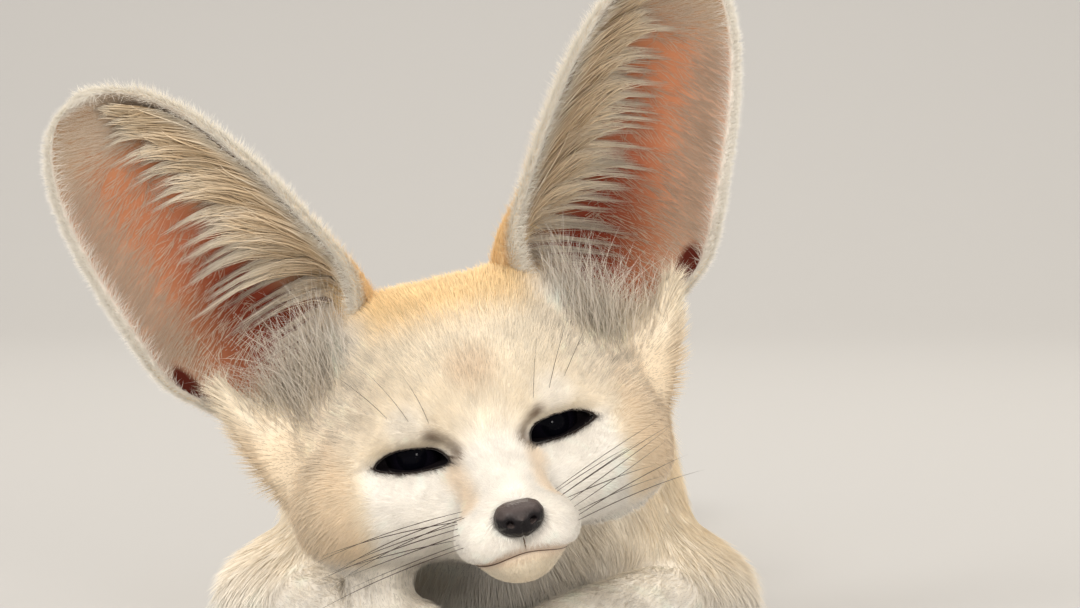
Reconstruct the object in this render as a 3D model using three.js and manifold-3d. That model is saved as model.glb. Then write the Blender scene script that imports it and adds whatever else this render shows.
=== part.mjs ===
// A fennec fox lying at rest with its chin on its forelegs, at life size, in millimetres.
// +Z is up, the fox faces -Y, its left side is towards +X, and it lies on the plane z = 0.
// Every solid reaches out to the surface of the fur. Fields, functions of a point that are
// negative inside, give the flesh its form, lofts are drawn over them, and thin cuts part it.
// The long hair of the tail and of the ears is made lock by lock.
import * as THREE from "three";
import { LoftGeometry } from "three/addons/geometries/LoftGeometry.js";
import { mergeVertices } from "three/addons/utils/BufferGeometryUtils.js";
import Module from "manifold-3d";

const wasm = await Module();
wasm.setup();

// Driving dimensions
const EYE_HEIGHT = 61; // from the floor to the middle between the eyes
const HEAD_YAW = 8.5; // degrees that the nose turns to the fox's left
const HEAD_PITCH = 5.2; // degrees that the nose dips
const HEAD_ROLL = -13; // degrees that the crown leans to the fox's right
const EYE_RADIUS = 8.8;
const EYE_CENTRE = [16, 7.6, 1];
const EYE_OUTWARD = 14; // degrees that each eye looks out from straight ahead
const EYE_SLANT = 13; // degrees that the outer corner of each eye rises
const LID_OPENING = [18, 6.8]; // half-closed lids, width and height between them
const EAR_ROOT = [35, 36, 12];
const EAR_LENGTH = 97;
const EAR_WIDTH = 57;
const EAR_LEAN = 24.5; // degrees that each ear leans out from the head's upright
const EAR_OUTWARD = 22; // degrees that the cup opens out from straight ahead
const EAR_THICKNESS = 2.6;
const BODY_END = 270; // how far the rump lies behind the eyes
const TAIL_RADIUS = 27;
const GAP = 0.3; // between touching solids

const rad = THREE.MathUtils.degToRad;
const clamp = THREE.MathUtils.clamp;
const lerp = THREE.MathUtils.lerp;
const vec = (x, y, z) => new THREE.Vector3(x, y, z);
const turnOf = (degrees, order) =>
  new THREE.Quaternion().setFromEuler(new THREE.Euler(...degrees.map(rad), order));

// The head's own frame has its origin between the eyes, with the nose towards -Y
const headFrame = new THREE.Matrix4().compose(
  vec(0, 0, EYE_HEIGHT),
  turnOf([HEAD_PITCH, HEAD_ROLL, HEAD_YAW], "ZXY"),
  vec(1, 1, 1),
);
const headInverse = headFrame.clone().invert();
const inHead = (x, y, z) => vec(x, y, z).applyMatrix4(headFrame);

// Fields
function ellipsoid(at, [rx, ry, rz], turn = [0, 0, 0]) {
  const centre = vec(...at);
  const back = turnOf(turn, "XYZ").invert();
  const q = vec(0, 0, 0);
  return (p) => {
    q.copy(p).sub(centre).applyQuaternion(back);
    const near = Math.hypot(q.x / rx, q.y / ry, q.z / rz);
    const slope = Math.hypot(q.x / rx ** 2, q.y / ry ** 2, q.z / rz ** 2);
    return slope > 1e-9 ? (near * (near - 1)) / slope : -Math.min(rx, ry, rz);
  };
}

function taper(from, fromRadius, to, toRadius) {
  const a = vec(...from);
  const ab = vec(...to).sub(a);
  const q = vec(0, 0, 0);
  return (p) => {
    q.copy(p).sub(a);
    const t = clamp(q.dot(ab) / ab.lengthSq(), 0, 1);
    return q.addScaledVector(ab, -t).length() - lerp(fromRadius, toRadius, t);
  };
}

const both = (at, radii, [tx, ty, tz] = [0, 0, 0]) => [
  ellipsoid(at, radii, [tx, ty, tz]),
  ellipsoid([-at[0], at[1], at[2]], radii, [tx, -ty, -tz]),
];

function softer(a, b, reach) {
  const h = Math.max(reach - Math.abs(a - b), 0) / reach;
  return Math.min(a, b) - (h * h * reach) / 4;
}
const blend = (reach, ...fields) => (p) =>
  fields.reduce((sum, field) => softer(sum, field(p), reach), 1e3);

// The head's masses, in its own frame
const skull = blend(
  11,
  ellipsoid([0, 25, 7], [33, 33, 30]),
  ellipsoid([0, 9, 9], [23, 20, 16]),
  ...both([20, 34, 22], [14, 15, 14]),
  ...both([34, 35, 8], [17, 17, 15], [0, -24, 0]),
  ...both([27, 15, -9], [20, 24, 20]),
  ...both([33, 27, -15], [17, 20, 18]),
  taper([0, -24, -21], 7, [0, 12, -19], 14),
);
const muzzle = blend(
  6,
  taper([0, -2, -6], 13, [0, -38, -12.5], 7),
  taper([0, 0, -13], 17, [0, -30, -16], 10),
  ...both([19, -2, -13], [12, 14, 9]),
);
const lips = blend(
  3,
  ...both([7.6, -33, -15.8], [8, 12, 7]),
  ellipsoid([0, -29.5, -22.3], [8.5, 13.5, 6]),
);
const lidBulges = blend(
  5,
  ...both(EYE_CENTRE, [10.4, 10.4, 9.6]),
  ...both([15, 1, 9.5], [10, 7, 5.5], [0, 18, 24]),
);
const local = vec(0, 0, 0);
const headField = (p) => {
  local.copy(p).applyMatrix4(headInverse);
  const bones = softer(skull(local), muzzle(local), 9);
  return softer(softer(bones, lips(local), 4), lidBulges(local), 5);
};

// The trunk's masses, in the part's frame
const neckTop = inHead(0, 36, -2).toArray();
const trunk = blend(
  22,
  taper(neckTop, 33, [-2, 92, 52], 36),
  ellipsoid([-3, 122, 42], [45, 62, 43]),
  ellipsoid([-4, 178, 41], [43, 60, 42]),
  ellipsoid([-3, BODY_END - 42, 43], [40, 42, 42]),
  ellipsoid([-1, 80, 30], [31, 28, 26]),
);
const flesh = (p) => softer(headField(p), trunk(p), 16);

// A loft over a field has rings of points where rays from a path meet the field's surface
function castBack(field, at, ray, outset = 0, reach = 90) {
  let r = reach;
  const p = vec(0, 0, 0);
  for (let step = 0; step < 80; step++) {
    const d = field(p.copy(at).addScaledVector(ray, r)) - outset;
    if (d < 0.02) break;
    r = Math.max(r - 0.8 * d, 0.4);
  }
  return p;
}
function ringOver(field, at, normal, sides, outset, reach) {
  const across = vec(0, 0, 1).cross(normal).normalize();
  const up = normal.clone().cross(across);
  return Array.from({ length: sides }, (_, i) => {
    const angle = (i / sides) * 2 * Math.PI;
    const ray = across.clone().multiplyScalar(Math.cos(angle));
    ray.addScaledVector(up, Math.sin(angle));
    return castBack(field, at, ray, outset, reach);
  });
}
function loftOver(field, points, shares, sides, outset = 0, reach = 90) {
  const path = new THREE.CatmullRomCurve3(points);
  const rings = shares.map((t) =>
    ringOver(field, path.getPointAt(t), path.getTangentAt(t), sides, outset, reach),
  );
  return solidOf(new LoftGeometry(rings, { capStart: true, capEnd: true }));
}
const even = (count) => Array.from({ length: count + 1 }, (_, i) => i / count);
const closeAtEnds = (count) => even(count).map((t) => (1 - Math.cos(Math.PI * t)) / 2);

// Solids for cutting and joining
function solidOf(geometry) {
  const bare = new THREE.BufferGeometry();
  bare.setAttribute("position", geometry.getAttribute("position").clone());
  if (geometry.index) bare.setIndex(geometry.index);
  const merged = mergeVertices(bare, 1e-4);
  const corners = merged.index.array;
  const triVerts = [];
  for (let i = 0; i < corners.length; i += 3) {
    const [a, b, c] = [corners[i], corners[i + 1], corners[i + 2]];
    if (a !== b && b !== c && c !== a) triVerts.push(a, b, c);
  }
  const vertProperties = new Float32Array(merged.getAttribute("position").array);
  const build = () =>
    new wasm.Manifold(
      new wasm.Mesh({
        numProp: 3,
        vertProperties,
        triVerts: new Uint32Array(triVerts),
      }),
    );
  const first = build();
  if (first.volume() > 0) return first;
  triVerts.reverse();
  return build();
}
const largest = (solid) =>
  solid.decompose().sort((a, b) => b.volume() - a.volume())[0];
const cut = (solid, ...tools) =>
  largest(tools.reduce((rest, tool) => rest.subtract(tool), solid));

const placed = (geometry, ...frames) => {
  for (const frame of frames) geometry.applyMatrix4(frame);
  return solidOf(geometry);
};

// A seeded draw, so that locks vary alike each time
function drawFrom(seed) {
  let state = seed;
  return (low, high) => {
    state = (state * 16807) % 2147483647;
    return lerp(low, high, state / 2147483647);
  };
}

// A lock of hair is a flat, tapered strip with a low ridge, bent along `route`, a function of the
// share from root to tip that gives a point and the way out of the coat there. Sunk by some
// millimetres, it is the room that a neighbour leaves for it.
const LOCK_BENDS = 3;
function lock(route, width, depth, sunk = 0) {
  const outline = (t) => width * (0.62 + 1.5 * t - 2.12 * t * t);
  const rings = even(LOCK_BENDS)
    .slice(0, -1)
    .map((t) => {
      const [at, out] = route(t);
      const [next] = route(t + 0.05);
      const along = next.sub(at).normalize();
      const across = along.clone().cross(out).normalize();
      const ridge = across.clone().cross(along).normalize();
      const half = outline(t) / 2;
      at.addScaledVector(ridge, -sunk);
      return [
        at.clone().addScaledVector(across, half),
        at.clone().addScaledVector(ridge, sunk + depth * (1 - 0.6 * t)),
        at.clone().addScaledVector(across, -half),
      ];
    });
  const [tip] = route(1);
  const sides = rings[0].length;
  const points = [...rings.flat(), tip];
  const faces = [0, 1, 2];
  for (let row = 0; row + 1 < rings.length; row++)
    for (let i = 0; i < sides; i++) {
      const [a, b] = [row * sides + i, row * sides + ((i + 1) % sides)];
      faces.push(a, a + sides, b, b, a + sides, b + sides);
    }
  const last = (rings.length - 1) * sides;
  for (let i = 0; i < sides; i++)
    faces.push(last + i, points.length - 1, last + ((i + 1) % sides));
  return solidOf(new THREE.BufferGeometry().setFromPoints(points).setIndex(faces));
}
const fused = (core, locks) => locks.reduce((sum, one) => sum.add(one), core);

const ROOM = 1200;
const block = () => new THREE.BoxGeometry(ROOM, ROOM, ROOM);
const belowFloor = placed(block().translate(0, 0, -ROOM / 2));
function halfSpace(at, normal, side) {
  const frame = new THREE.Matrix4().compose(
    at,
    new THREE.Quaternion().setFromUnitVectors(vec(0, 1, 0), normal),
    vec(1, 1, 1),
  );
  const start = (side * (ROOM + GAP)) / 2;
  return placed(block().translate(0, start, 0), frame);
}

// The flesh is lofted in two lengths that overlap, and parted by planes
const headPath = [
  inHead(0, -44.6, -12.6),
  inHead(0, -34, -15),
  inHead(0, -20, -14),
  inHead(0, -4, -8),
  inHead(0, 14, -3),
  inHead(0, 32, -3),
  inHead(0, 54, -3),
];
const HEAD_RINGS = 26;
const headLoft = (outset) =>
  loftOver(flesh, headPath, even(HEAD_RINGS).map((t) => t ** 1.12), 46, outset);

const bodyPath = [
  inHead(0, 32, -3),
  inHead(0, 50, -5),
  vec(-2, 84, 50),
  vec(-3, 122, 44),
  vec(-4, 178, 42),
  vec(-3, BODY_END - 40, 42),
  vec(-3, BODY_END + 0.5, 42),
];
const bodyShares = [...even(16).map((t) => t * 0.92), 0.948, 0.972, 0.99, 1];
const bodyLoft = (outset) => loftOver(flesh, bodyPath, bodyShares, 30, outset);

const nape = inHead(0, 49, -3);
const napeNormal = vec(0, 1, 0.04).normalize();
const chest = vec(-2, 82, 48);
const chestNormal = vec(0, 1, -0.3).normalize();
const beforeNape = halfSpace(nape, napeNormal, -1);
const behindNape = halfSpace(nape, napeNormal, 1);
const beforeChest = halfSpace(chest, chestNormal, -1);
const behindChest = halfSpace(chest, chestNormal, 1);

const bareHead = largest(headLoft(0).intersect(beforeNape));
const body = bodyLoft(0).subtract(belowFloor);
const neck = largest(body.intersect(behindNape).intersect(beforeChest));
const torso = largest(body.intersect(behindChest));
const clearOfBody = bodyLoft(GAP);
const clearOfFlesh = headLoft(GAP).intersect(beforeNape).add(clearOfBody);

// Eyes lie in sockets behind half-closed lids
const mirror = (side) => new THREE.Matrix4().makeScale(side, 1, 1);
const gaze = new THREE.Matrix4().compose(
  vec(...EYE_CENTRE),
  turnOf([90, 0, EYE_OUTWARD], "ZXY"),
  vec(1, 1, 1),
);
function eyeball(side, radius) {
  const shape = new THREE.SphereGeometry(radius, 12, 9);
  return placed(shape, gaze, mirror(side), headFrame);
}
function lidCut(side) {
  const [width, height] = LID_OPENING;
  const [w, inner] = [width / 2, -height * 0.15];
  const almond = new THREE.Shape();
  almond.moveTo(-w, inner);
  almond.bezierCurveTo(-w / 2, height * 0.6, w / 2, height * 0.62, w, 0);
  almond.bezierCurveTo(w / 2, -height * 0.55, -w / 2, -height * 0.7, -w, inner);
  const shape = new THREE.ExtrudeGeometry(almond, {
    depth: 24,
    bevelEnabled: false,
    curveSegments: 6,
  });
  const slant = new THREE.Matrix4().makeRotationZ(rad(EYE_SLANT));
  return placed(shape, slant, gaze, mirror(side), headFrame);
}

// The nose leather has two nostrils that curl out to slits
const nosePad = blend(
  2.5,
  ellipsoid([0, -43.6, -10.2], [5.4, 4.2, 3.9]),
  ellipsoid([0, -44.2, -12.2], [2.6, 3.2, 3]),
  ...both([3.2, -43.4, -10.2], [2.7, 3.6, 3.2]),
);
const noseField = (p) => nosePad(local.copy(p).applyMatrix4(headInverse));
const nosePath = [
  inHead(0, -48.6, -10.6),
  inHead(0, -44, -10.6),
  inHead(0, -38.6, -10.6),
];
const noseLoft = (outset) =>
  loftOver(noseField, nosePath, closeAtEnds(8), 16, outset, 12);
const nostril = (side) =>
  placed(
    new THREE.SphereGeometry(1, 7, 5),
    new THREE.Matrix4().compose(
      vec(2.9, -47.7, -10.9),
      turnOf([0, -24, 12], "XYZ"),
      vec(1.2, 2.8, 0.95),
    ),
    mirror(side),
    headFrame,
  );

// The line of the mouth is a thin slit that droops from the middle to the corners
function mouthCut() {
  const lower = [];
  const upper = [];
  for (let i = -9; i <= 9; i++) {
    const x = i * 2.3;
    const droop = -19.3 - 3.4 * Math.min(1, (Math.abs(x) / 13) ** 1.6);
    lower.push(new THREE.Vector2(x, -(droop - 0.4)));
    upper.unshift(new THREE.Vector2(x, -(droop + 0.4)));
  }
  const slit = new THREE.Shape([...lower, ...upper]);
  const shape = new THREE.ExtrudeGeometry(slit, { depth: 48, bevelEnabled: false });
  const along = new THREE.Matrix4()
    .makeTranslation(0, -62, 0)
    .multiply(new THREE.Matrix4().makeRotationX(rad(-90)));
  return placed(shape, along, headFrame);
}

// Each ear is a cup: an arc that opens forwards, narrow at the root and pointed at the tip
const EAR_STEPS = 12;
const EAR_ARCS = 9;
const EAR_FOOT = -0.16; // shares of the ear's length, counted from its root
const EAR_TIP = 0.997;
const POCKET_AT = 0.24;
const FRINGE_LOCKS = 10;
const FRINGE_WIDTH = 10.8;
const TUFT_LOCKS = 5;
const TUFT_WIDTH = 8.2;
const CUP_LOCK_DEPTH = 1.8;
const earAxis = vec(Math.sin(rad(EAR_LEAN)), -0.06, Math.cos(rad(EAR_LEAN))).normalize();
const earOpening = vec(Math.sin(rad(EAR_OUTWARD)), -Math.cos(rad(EAR_OUTWARD)), 0);
earOpening.addScaledVector(earAxis, -earOpening.dot(earAxis)).normalize();
const earAcross = earAxis.clone().cross(earOpening);

function earPoint(s, share, lift) {
  const full = Math.max(s, 0);
  const taperOff = Math.sqrt(Math.max(1 - full ** 4.5, 0)) * (1 - 0.17 * full);
  const swell = lerp(0.55, 1, THREE.MathUtils.smoothstep(s, -0.15, 0.33));
  const halfWidth = (EAR_WIDTH / 2) * taperOff * swell + 0.3;
  const arc = rad(lerp(120, 58, THREE.MathUtils.smoothstep(s, -0.1, 0.42)) - 16 * full);
  const radius = halfWidth / Math.sin(Math.min(arc, Math.PI / 2));
  const angle = share * arc;
  const reach = radius + lift;
  return vec(...EAR_ROOT)
    .addScaledVector(earAxis, s * EAR_LENGTH)
    .addScaledVector(earAcross, reach * Math.sin(angle) + 1.5 * full ** 2)
    .addScaledVector(earOpening, radius * Math.cos(arc) - reach * Math.cos(angle));
}
function earShell(side) {
  const lift = EAR_THICKNESS / 2;
  const steps = even(EAR_STEPS).map((t) => lerp(EAR_FOOT, EAR_TIP, 1 - (1 - t) ** 1.25));
  const shares = even(EAR_ARCS).map((t) => 2 * t - 1);
  const rings = steps.map((s) => [
    ...shares.map((share) => earPoint(s, share, lift)),
    ...shares.map((share) => earPoint(s, -share, -lift)),
  ]);
  const shell = stripLoft(rings, shares.length);
  return placed(shell, mirror(side), headFrame);
}

// Locks in the cup follow a route of [place along the ear, place round its arc, lift off its wall]
function cupLock(side, place, width) {
  const toPart = (p) => p.applyMatrix4(mirror(side)).applyMatrix4(headFrame);
  const route = (t) => {
    const [s, share, lift] = place(t);
    const at = toPart(earPoint(s, share, -EAR_THICKNESS / 2 - lift));
    const inwards = toPart(earPoint(s, share, -EAR_THICKNESS / 2 - lift - 1));
    return [at, inwards.sub(at).normalize()];
  };
  return lock(route, width, CUP_LOCK_DEPTH);
}

// Long hair grows from the inner rim, first up along it and then across the cup
function earFringe(side) {
  const draw = drawFrom(side > 0 ? 17 : 53);
  return even(FRINGE_LOCKS - 1).map((place) => {
    const from = lerp(0.03, 0.84, place) + draw(-0.01, 0.01);
    const climb = draw(0.08, 0.11) * (1 - 0.5 * place);
    const end = lerp(0.3, -0.25, place ** 1.6) + draw(-0.1, 0.1);
    const route = (t) => [
      from + climb * Math.sin((t * Math.PI) / 2),
      lerp(-0.93, end, t ** 1.15),
      lerp(-1.1, 2.2, Math.sin(Math.PI * t) ** 0.7) * (1 - 0.3 * t),
    ];
    return cupLock(side, route, FRINGE_WIDTH * draw(0.93, 1.06) * (1 - 0.2 * place));
  });
}

// A fan of hair rises from the foot of the cup over the ear's opening
function earTuft(side) {
  const draw = drawFrom(side > 0 ? 37 : 83);
  return even(TUFT_LOCKS - 1).map((place) => {
    const share = lerp(-0.55, 0.8, place);
    const lean = lerp(-0.12, 0.1, place);
    const rise = draw(0.3, 0.36) - 0.1 * Math.abs(place - 0.4);
    const route = (t) => [
      -0.02 + rise * t,
      share + lean * t,
      lerp(-1.2, 6.5, t ** 0.8) + 3 * Math.sin(Math.PI * t),
    ];
    return cupLock(side, route, TUFT_WIDTH * draw(0.92, 1.1));
  });
}

// A small pocket opens in the outer rim, low down
function earPocket(side) {
  const at = earPoint(POCKET_AT, 0.97, -EAR_THICKNESS);
  const frame = new THREE.Matrix4().compose(
    at,
    new THREE.Quaternion().setFromUnitVectors(vec(0, 0, 1), earAxis),
    vec(2.6, 2.6, 6.5),
  );
  const shape = new THREE.SphereGeometry(1, 8, 6).rotateX(Math.PI / 2);
  return placed(shape, frame, mirror(side), headFrame);
}

// A closed loft whose front and back are split into triangles alike
function stripLoft(rings, half) {
  const points = rings.flat();
  const count = 2 * half;
  const corner = (row, i) => row * count + (i % count);
  const faces = [];
  for (let row = 0; row + 1 < rings.length; row++)
    for (let i = 0; i < count; i++) {
      const [a, b] = [corner(row, i), corner(row, i + 1)];
      const [c, d] = [corner(row + 1, i + 1), corner(row + 1, i)];
      if (i < half) faces.push(a, b, d, b, c, d);
      else faces.push(a, b, c, a, c, d);
    }
  for (let i = 0; i + 1 < half; i++) {
    const [a, b] = [i, i + 1];
    const [c, d] = [count - 2 - i, count - 1 - i];
    faces.push(a, d, b, d, c, b);
    const last = corner(rings.length - 1, 0);
    faces.push(last + a, last + b, last + d, last + d, last + b, last + c);
  }
  return new THREE.BufferGeometry().setFromPoints(points).setIndex(faces);
}
const ear = (side) =>
  cut(
    fused(earShell(side), [...earFringe(side), ...earTuft(side)]),
    earPocket(side),
    clearOfFlesh,
  );

// Limbs, folded under and beside the trunk
function limb(field, points, rings, sides, ...neighbours) {
  const shape = (outset) =>
    loftOver(field, points, closeAtEnds(rings), sides, outset, 60);
  return {
    solid: cut(shape(0), belowFloor, ...neighbours),
    clear: shape(GAP),
  };
}

const CLAW_RADIUS = 1.3;
function claw(at, length) {
  const shape = new THREE.ConeGeometry(CLAW_RADIUS, length, 5);
  const lie = new THREE.Matrix4().compose(
    at,
    turnOf([118, 0, 0], "XYZ"),
    vec(1, 1, 1),
  );
  return placed(shape, lie);
}

// A paw has four toes side by side, each with a claw
function paw(at, length, width, ...neighbours) {
  const toes = [-1.5, -0.5, 0.5, 1.5].map((place) => {
    const back = 0.55 * Math.abs(place) ** 2;
    return [at.x + (place * width) / 4, at.y - length * 0.3 + back, width * 0.29];
  });
  const toeRadii = [width * 0.155, length * 0.23, width * 0.29];
  const pad = [at.x, at.y + length * 0.08, width * 0.4];
  const padRadii = [width * 0.47, length * 0.42, width * 0.42];
  const field = blend(
    2.5,
    ellipsoid(pad, padRadii),
    ...toes.map((toe) => ellipsoid(toe, toeRadii)),
  );
  const path = [
    vec(at.x, at.y - length * 0.54, width * 0.24),
    vec(at.x, at.y, width * 0.36),
    vec(at.x, at.y + length * 0.495, width * 0.4),
  ];
  const made = limb(field, path, 8, 16, ...neighbours);
  const claws = toes.map(([x, y]) =>
    claw(vec(x, y - length * 0.235, width * 0.17), length * 0.15),
  );
  const solid = cut(
    claws.reduce((sum, one) => sum.add(one), made.solid),
    belowFloor,
  );
  return { solid, clear: made.clear };
}

function foreleg(side) {
  const forward = side > 0 ? 8 : 0;
  const upper = limb(
    blend(
      12,
      ellipsoid([side * 35, 98, 40], [17, 27, 31], [18, -16 * side, 0]),
      ellipsoid([side * 49, 84, 14], [24, 25, 18]),
    ),
    [vec(side * 50, 58, 6), vec(side * 46, 86, 22), vec(side * 28, 106, 72)],
    10,
    16,
    clearOfFlesh,
  );
  const elbow = vec(side * 48, 72, 13);
  const wrist = vec(side * 17, 8 - forward, 12.5);
  const along = elbow.clone().sub(wrist);
  const lower = limb(
    taper(elbow.toArray(), 13.5, wrist.toArray(), 11.5),
    [
      wrist.clone().addScaledVector(along, -0.135),
      wrist.clone().addScaledVector(along, 0.5),
      elbow.clone().addScaledVector(along, 0.14),
    ],
    7,
    12,
    clearOfFlesh,
    upper.clear,
  );
  const foot = vec(side * 15.5, -15 - forward, 0);
  return { upper, lower, foot: paw(foot, 38, 25, clearOfFlesh, lower.clear) };
}

function hindLeg(side) {
  const thigh = limb(
    blend(
      10,
      ellipsoid([side * 36 - 2, 206, 33], [20, 40, 33], [-20, 0, 0]),
      ellipsoid([side * 42 - 2, 186, 20], [15, 26, 19]),
    ),
    [vec(side * 42 - 2, 158, 14), vec(side * 38 - 2, 200, 30), vec(side * 32 - 2, 245, 44)],
    10,
    16,
    clearOfFlesh,
  );
  const heel = vec(side * 49 - 2, 236, 10.2);
  const toes = vec(side * 52 - 2, 170, 9);
  const along = heel.clone().sub(toes);
  const foot = limb(
    taper(toes.toArray(), 9.5, heel.toArray(), 11),
    [
      toes.clone().addScaledVector(along, -0.13),
      toes.clone().addScaledVector(along, 0.5),
      heel.clone().addScaledVector(along, 0.15),
    ],
    7,
    12,
    clearOfFlesh,
    thigh.clear,
  );
  const end = vec(side * 52.5 - 2, 150, 0);
  const toed = paw(end, 34, 22, clearOfFlesh, thigh.clear, foot.clear);
  return { upper: thigh, lower: foot, foot: toed };
}

// The tail lies along the floor behind the rump: a core, and rings of locks that overlap to its tip
const TAIL_CORE = 0.6; // share of the brush's radius
const TAIL_RINGS = 7;
const TAIL_AROUND = 6;
const TIP_RINGS = 2; // the last rings belong to the dark tip
const TIP_AT = 0.65; // share of the tail's length where the tip's core begins
const tailPath = new THREE.CatmullRomCurve3([
  vec(-3, BODY_END - 16, 40),
  vec(0, BODY_END + 20, 28),
  vec(14, BODY_END + 62, 21),
  vec(32, BODY_END + 106, 19),
  vec(34, BODY_END + 154, 18),
  vec(12, BODY_END + 202, 11),
]);
function tailSpread(t) {
  const swell = 0.5 + 1.15 * t - 0.65 * t * t;
  return TAIL_RADIUS * swell * Math.sqrt(Math.max(1 - t ** 5, 0)) + 0.5;
}
const tailCoreShare = (t) => lerp(0.95, TAIL_CORE, Math.min(1, 5 * t));

// A point beside the tail, and the way out of the coat there
function tailPoint(t, angle, radius) {
  const at = tailPath.getPointAt(Math.min(t, 1));
  const along = tailPath.getTangentAt(Math.min(t, 1));
  const across = vec(0, 0, 1).cross(along).normalize();
  const up = along.clone().cross(across);
  const out = across.multiplyScalar(Math.cos(angle));
  out.addScaledVector(up, 0.92 * Math.sin(angle));
  at.addScaledVector(along, Math.max(t - 1, 0) * tailPath.getLength());
  return [at.addScaledVector(out, radius), out.normalize()];
}
function tailCore() {
  const corners = even(12).slice(0, -1);
  const sections = even(12).map((t) =>
    corners.map((turn) => {
      const radius = tailCoreShare(t) * tailSpread(t);
      return tailPoint(t, turn * 2 * Math.PI, radius)[0];
    }),
  );
  return solidOf(new LoftGeometry(sections, { capStart: true, capEnd: true }));
}
function tailLock(draw, from, place) {
  const angle = ((place + draw(-0.07, 0.07)) / TAIL_AROUND) * 2 * Math.PI;
  const length = draw(0.2, 0.235);
  const sway = draw(-0.08, 0.08);
  const outer = draw(0.97, 1.06);
  const inner = tailCoreShare(from) - 0.13;
  const route = (t) => {
    const along = from + length * t;
    const spread = tailSpread(Math.min(along, 0.93)) * lerp(inner, outer, t);
    return tailPoint(along, angle + sway * t, spread);
  };
  const share = (2 * Math.PI * tailSpread(from + 0.06)) / TAIL_AROUND;
  return [route, share * draw(0.86, 0.98)];
}
const tailDraw = drawFrom(91);
const tailRings = even(TAIL_RINGS - 1).map((place, ring) =>
  even(TAIL_AROUND)
    .slice(1)
    .map((turn) =>
      tailLock(
        tailDraw,
        lerp(0.03, 0.83, place) + tailDraw(-0.01, 0.01),
        turn * TAIL_AROUND + (ring % 2) / 2,
      ),
    ),
);
const TAIL_LOCK_DEPTH = 3;
const tailLocks = (rings) =>
  rings.flat().map(([route, width]) => lock(route, width, TAIL_LOCK_DEPTH));
const roomForLocks = (rings) =>
  rings.flat().map(([route, width]) => lock(route, width + 4 * GAP, TAIL_LOCK_DEPTH + GAP, 2 * GAP));
const mainRings = tailRings.slice(0, -TIP_RINGS);
const tipStart = tailPath.getPointAt(TIP_AT);
const tipNormal = tailPath.getTangentAt(TIP_AT);
const tail = cut(
  fused(tailCore().intersect(halfSpace(tipStart, tipNormal, -1)), tailLocks(mainRings)),
  belowFloor,
  clearOfFlesh,
);
const tailTip = cut(
  fused(
    tailCore().intersect(halfSpace(tipStart, tipNormal, 1)),
    tailLocks(tailRings.slice(-TIP_RINGS)),
  ),
  belowFloor,
  ...roomForLocks(mainRings.slice(-TIP_RINGS)),
);

const limbs = {
  left: { fore: foreleg(1), hind: hindLeg(1) },
  right: { fore: foreleg(-1), hind: hindLeg(-1) },
};

const nose = cut(noseLoft(0), nostril(-1), nostril(1));
const head = cut(
  bareHead,
  clearOfBody.intersect(behindNape),
  noseLoft(GAP),
  mouthCut(),
  ...[-1, 1].flatMap((side) => [eyeball(side, EYE_RADIUS + GAP), lidCut(side)]),
);

const materials = {
  coat: new THREE.MeshStandardMaterial({ color: 0xe8cfa4, roughness: 0.95 }),
  ear: new THREE.MeshStandardMaterial({ color: 0xc98e63, roughness: 0.85 }),
  eye: new THREE.MeshStandardMaterial({ color: 0x1b1416, roughness: 0.1 }),
  nose: new THREE.MeshStandardMaterial({ color: 0x15100f, roughness: 0.45 }),
  tailTip: new THREE.MeshStandardMaterial({ color: 0x2a1d15, roughness: 0.95 }),
};

const fox = new THREE.Group();
function addPart(parent, name, solid, material) {
  const mesh = solid.getMesh();
  const positions = [];
  for (let i = 0; i < mesh.numVert; i++)
    positions.push(
      ...mesh.vertProperties.subarray(i * mesh.numProp, i * mesh.numProp + 3),
    );
  const geometry = new THREE.BufferGeometry();
  geometry.setAttribute("position", new THREE.Float32BufferAttribute(positions, 3));
  geometry.setIndex(new THREE.BufferAttribute(mesh.triVerts, 1));
  geometry.computeVertexNormals();
  const part = new THREE.Mesh(geometry, material);
  part.name = name;
  parent.add(part);
}

addPart(fox, "head", head, materials.coat);
addPart(fox, "nose", nose, materials.nose);
addPart(fox, "neck", neck, materials.coat);
addPart(fox, "torso", torso, materials.coat);
for (const [name, side] of [["left", 1], ["right", -1]]) {
  addPart(fox, `ear_${name}`, ear(side), materials.ear);
  addPart(fox, `eye_${name}`, eyeball(side, EYE_RADIUS), materials.eye);
  const { fore, hind } = limbs[name];
  addPart(fox, `upper_arm_${name}`, fore.upper.solid, materials.coat);
  addPart(fox, `forearm_${name}`, fore.lower.solid, materials.coat);
  addPart(fox, `forepaw_${name}`, fore.foot.solid, materials.coat);
  addPart(fox, `thigh_${name}`, hind.upper.solid, materials.coat);
  addPart(fox, `hind_foot_${name}`, hind.lower.solid, materials.coat);
  addPart(fox, `hind_paw_${name}`, hind.foot.solid, materials.coat);
}
addPart(fox, "tail", tail, materials.coat);
addPart(fox, "tail_tip", tailTip, materials.tailTip);

// The origin is the middle of the part's box, on the floor
const reach = new THREE.Box3().setFromObject(fox);
const middle = reach.getCenter(vec(0, 0, 0));
fox.position.set(-middle.x, -middle.y, 0);

export default fox;
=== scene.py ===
# %% [markdown]
# # A fennec fox at rest, in fur
# This lesson dresses a ready-made solid fox. The solids give the outline of the coat, so the work
# here is the reverse of a sculptor's: we find the skin that lies under that outline, paint its
# markings, and let a coat of small tufts grow back out to it. Nothing is a picture. Every colour
# and every hair comes from a place on the animal, named in millimetres from the middle of its brow.

# %% Load the frame
import math

import bmesh
import bpy
import numpy as np
from mathutils import Matrix, Vector
from mathutils.bvhtree import BVHTree


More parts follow.
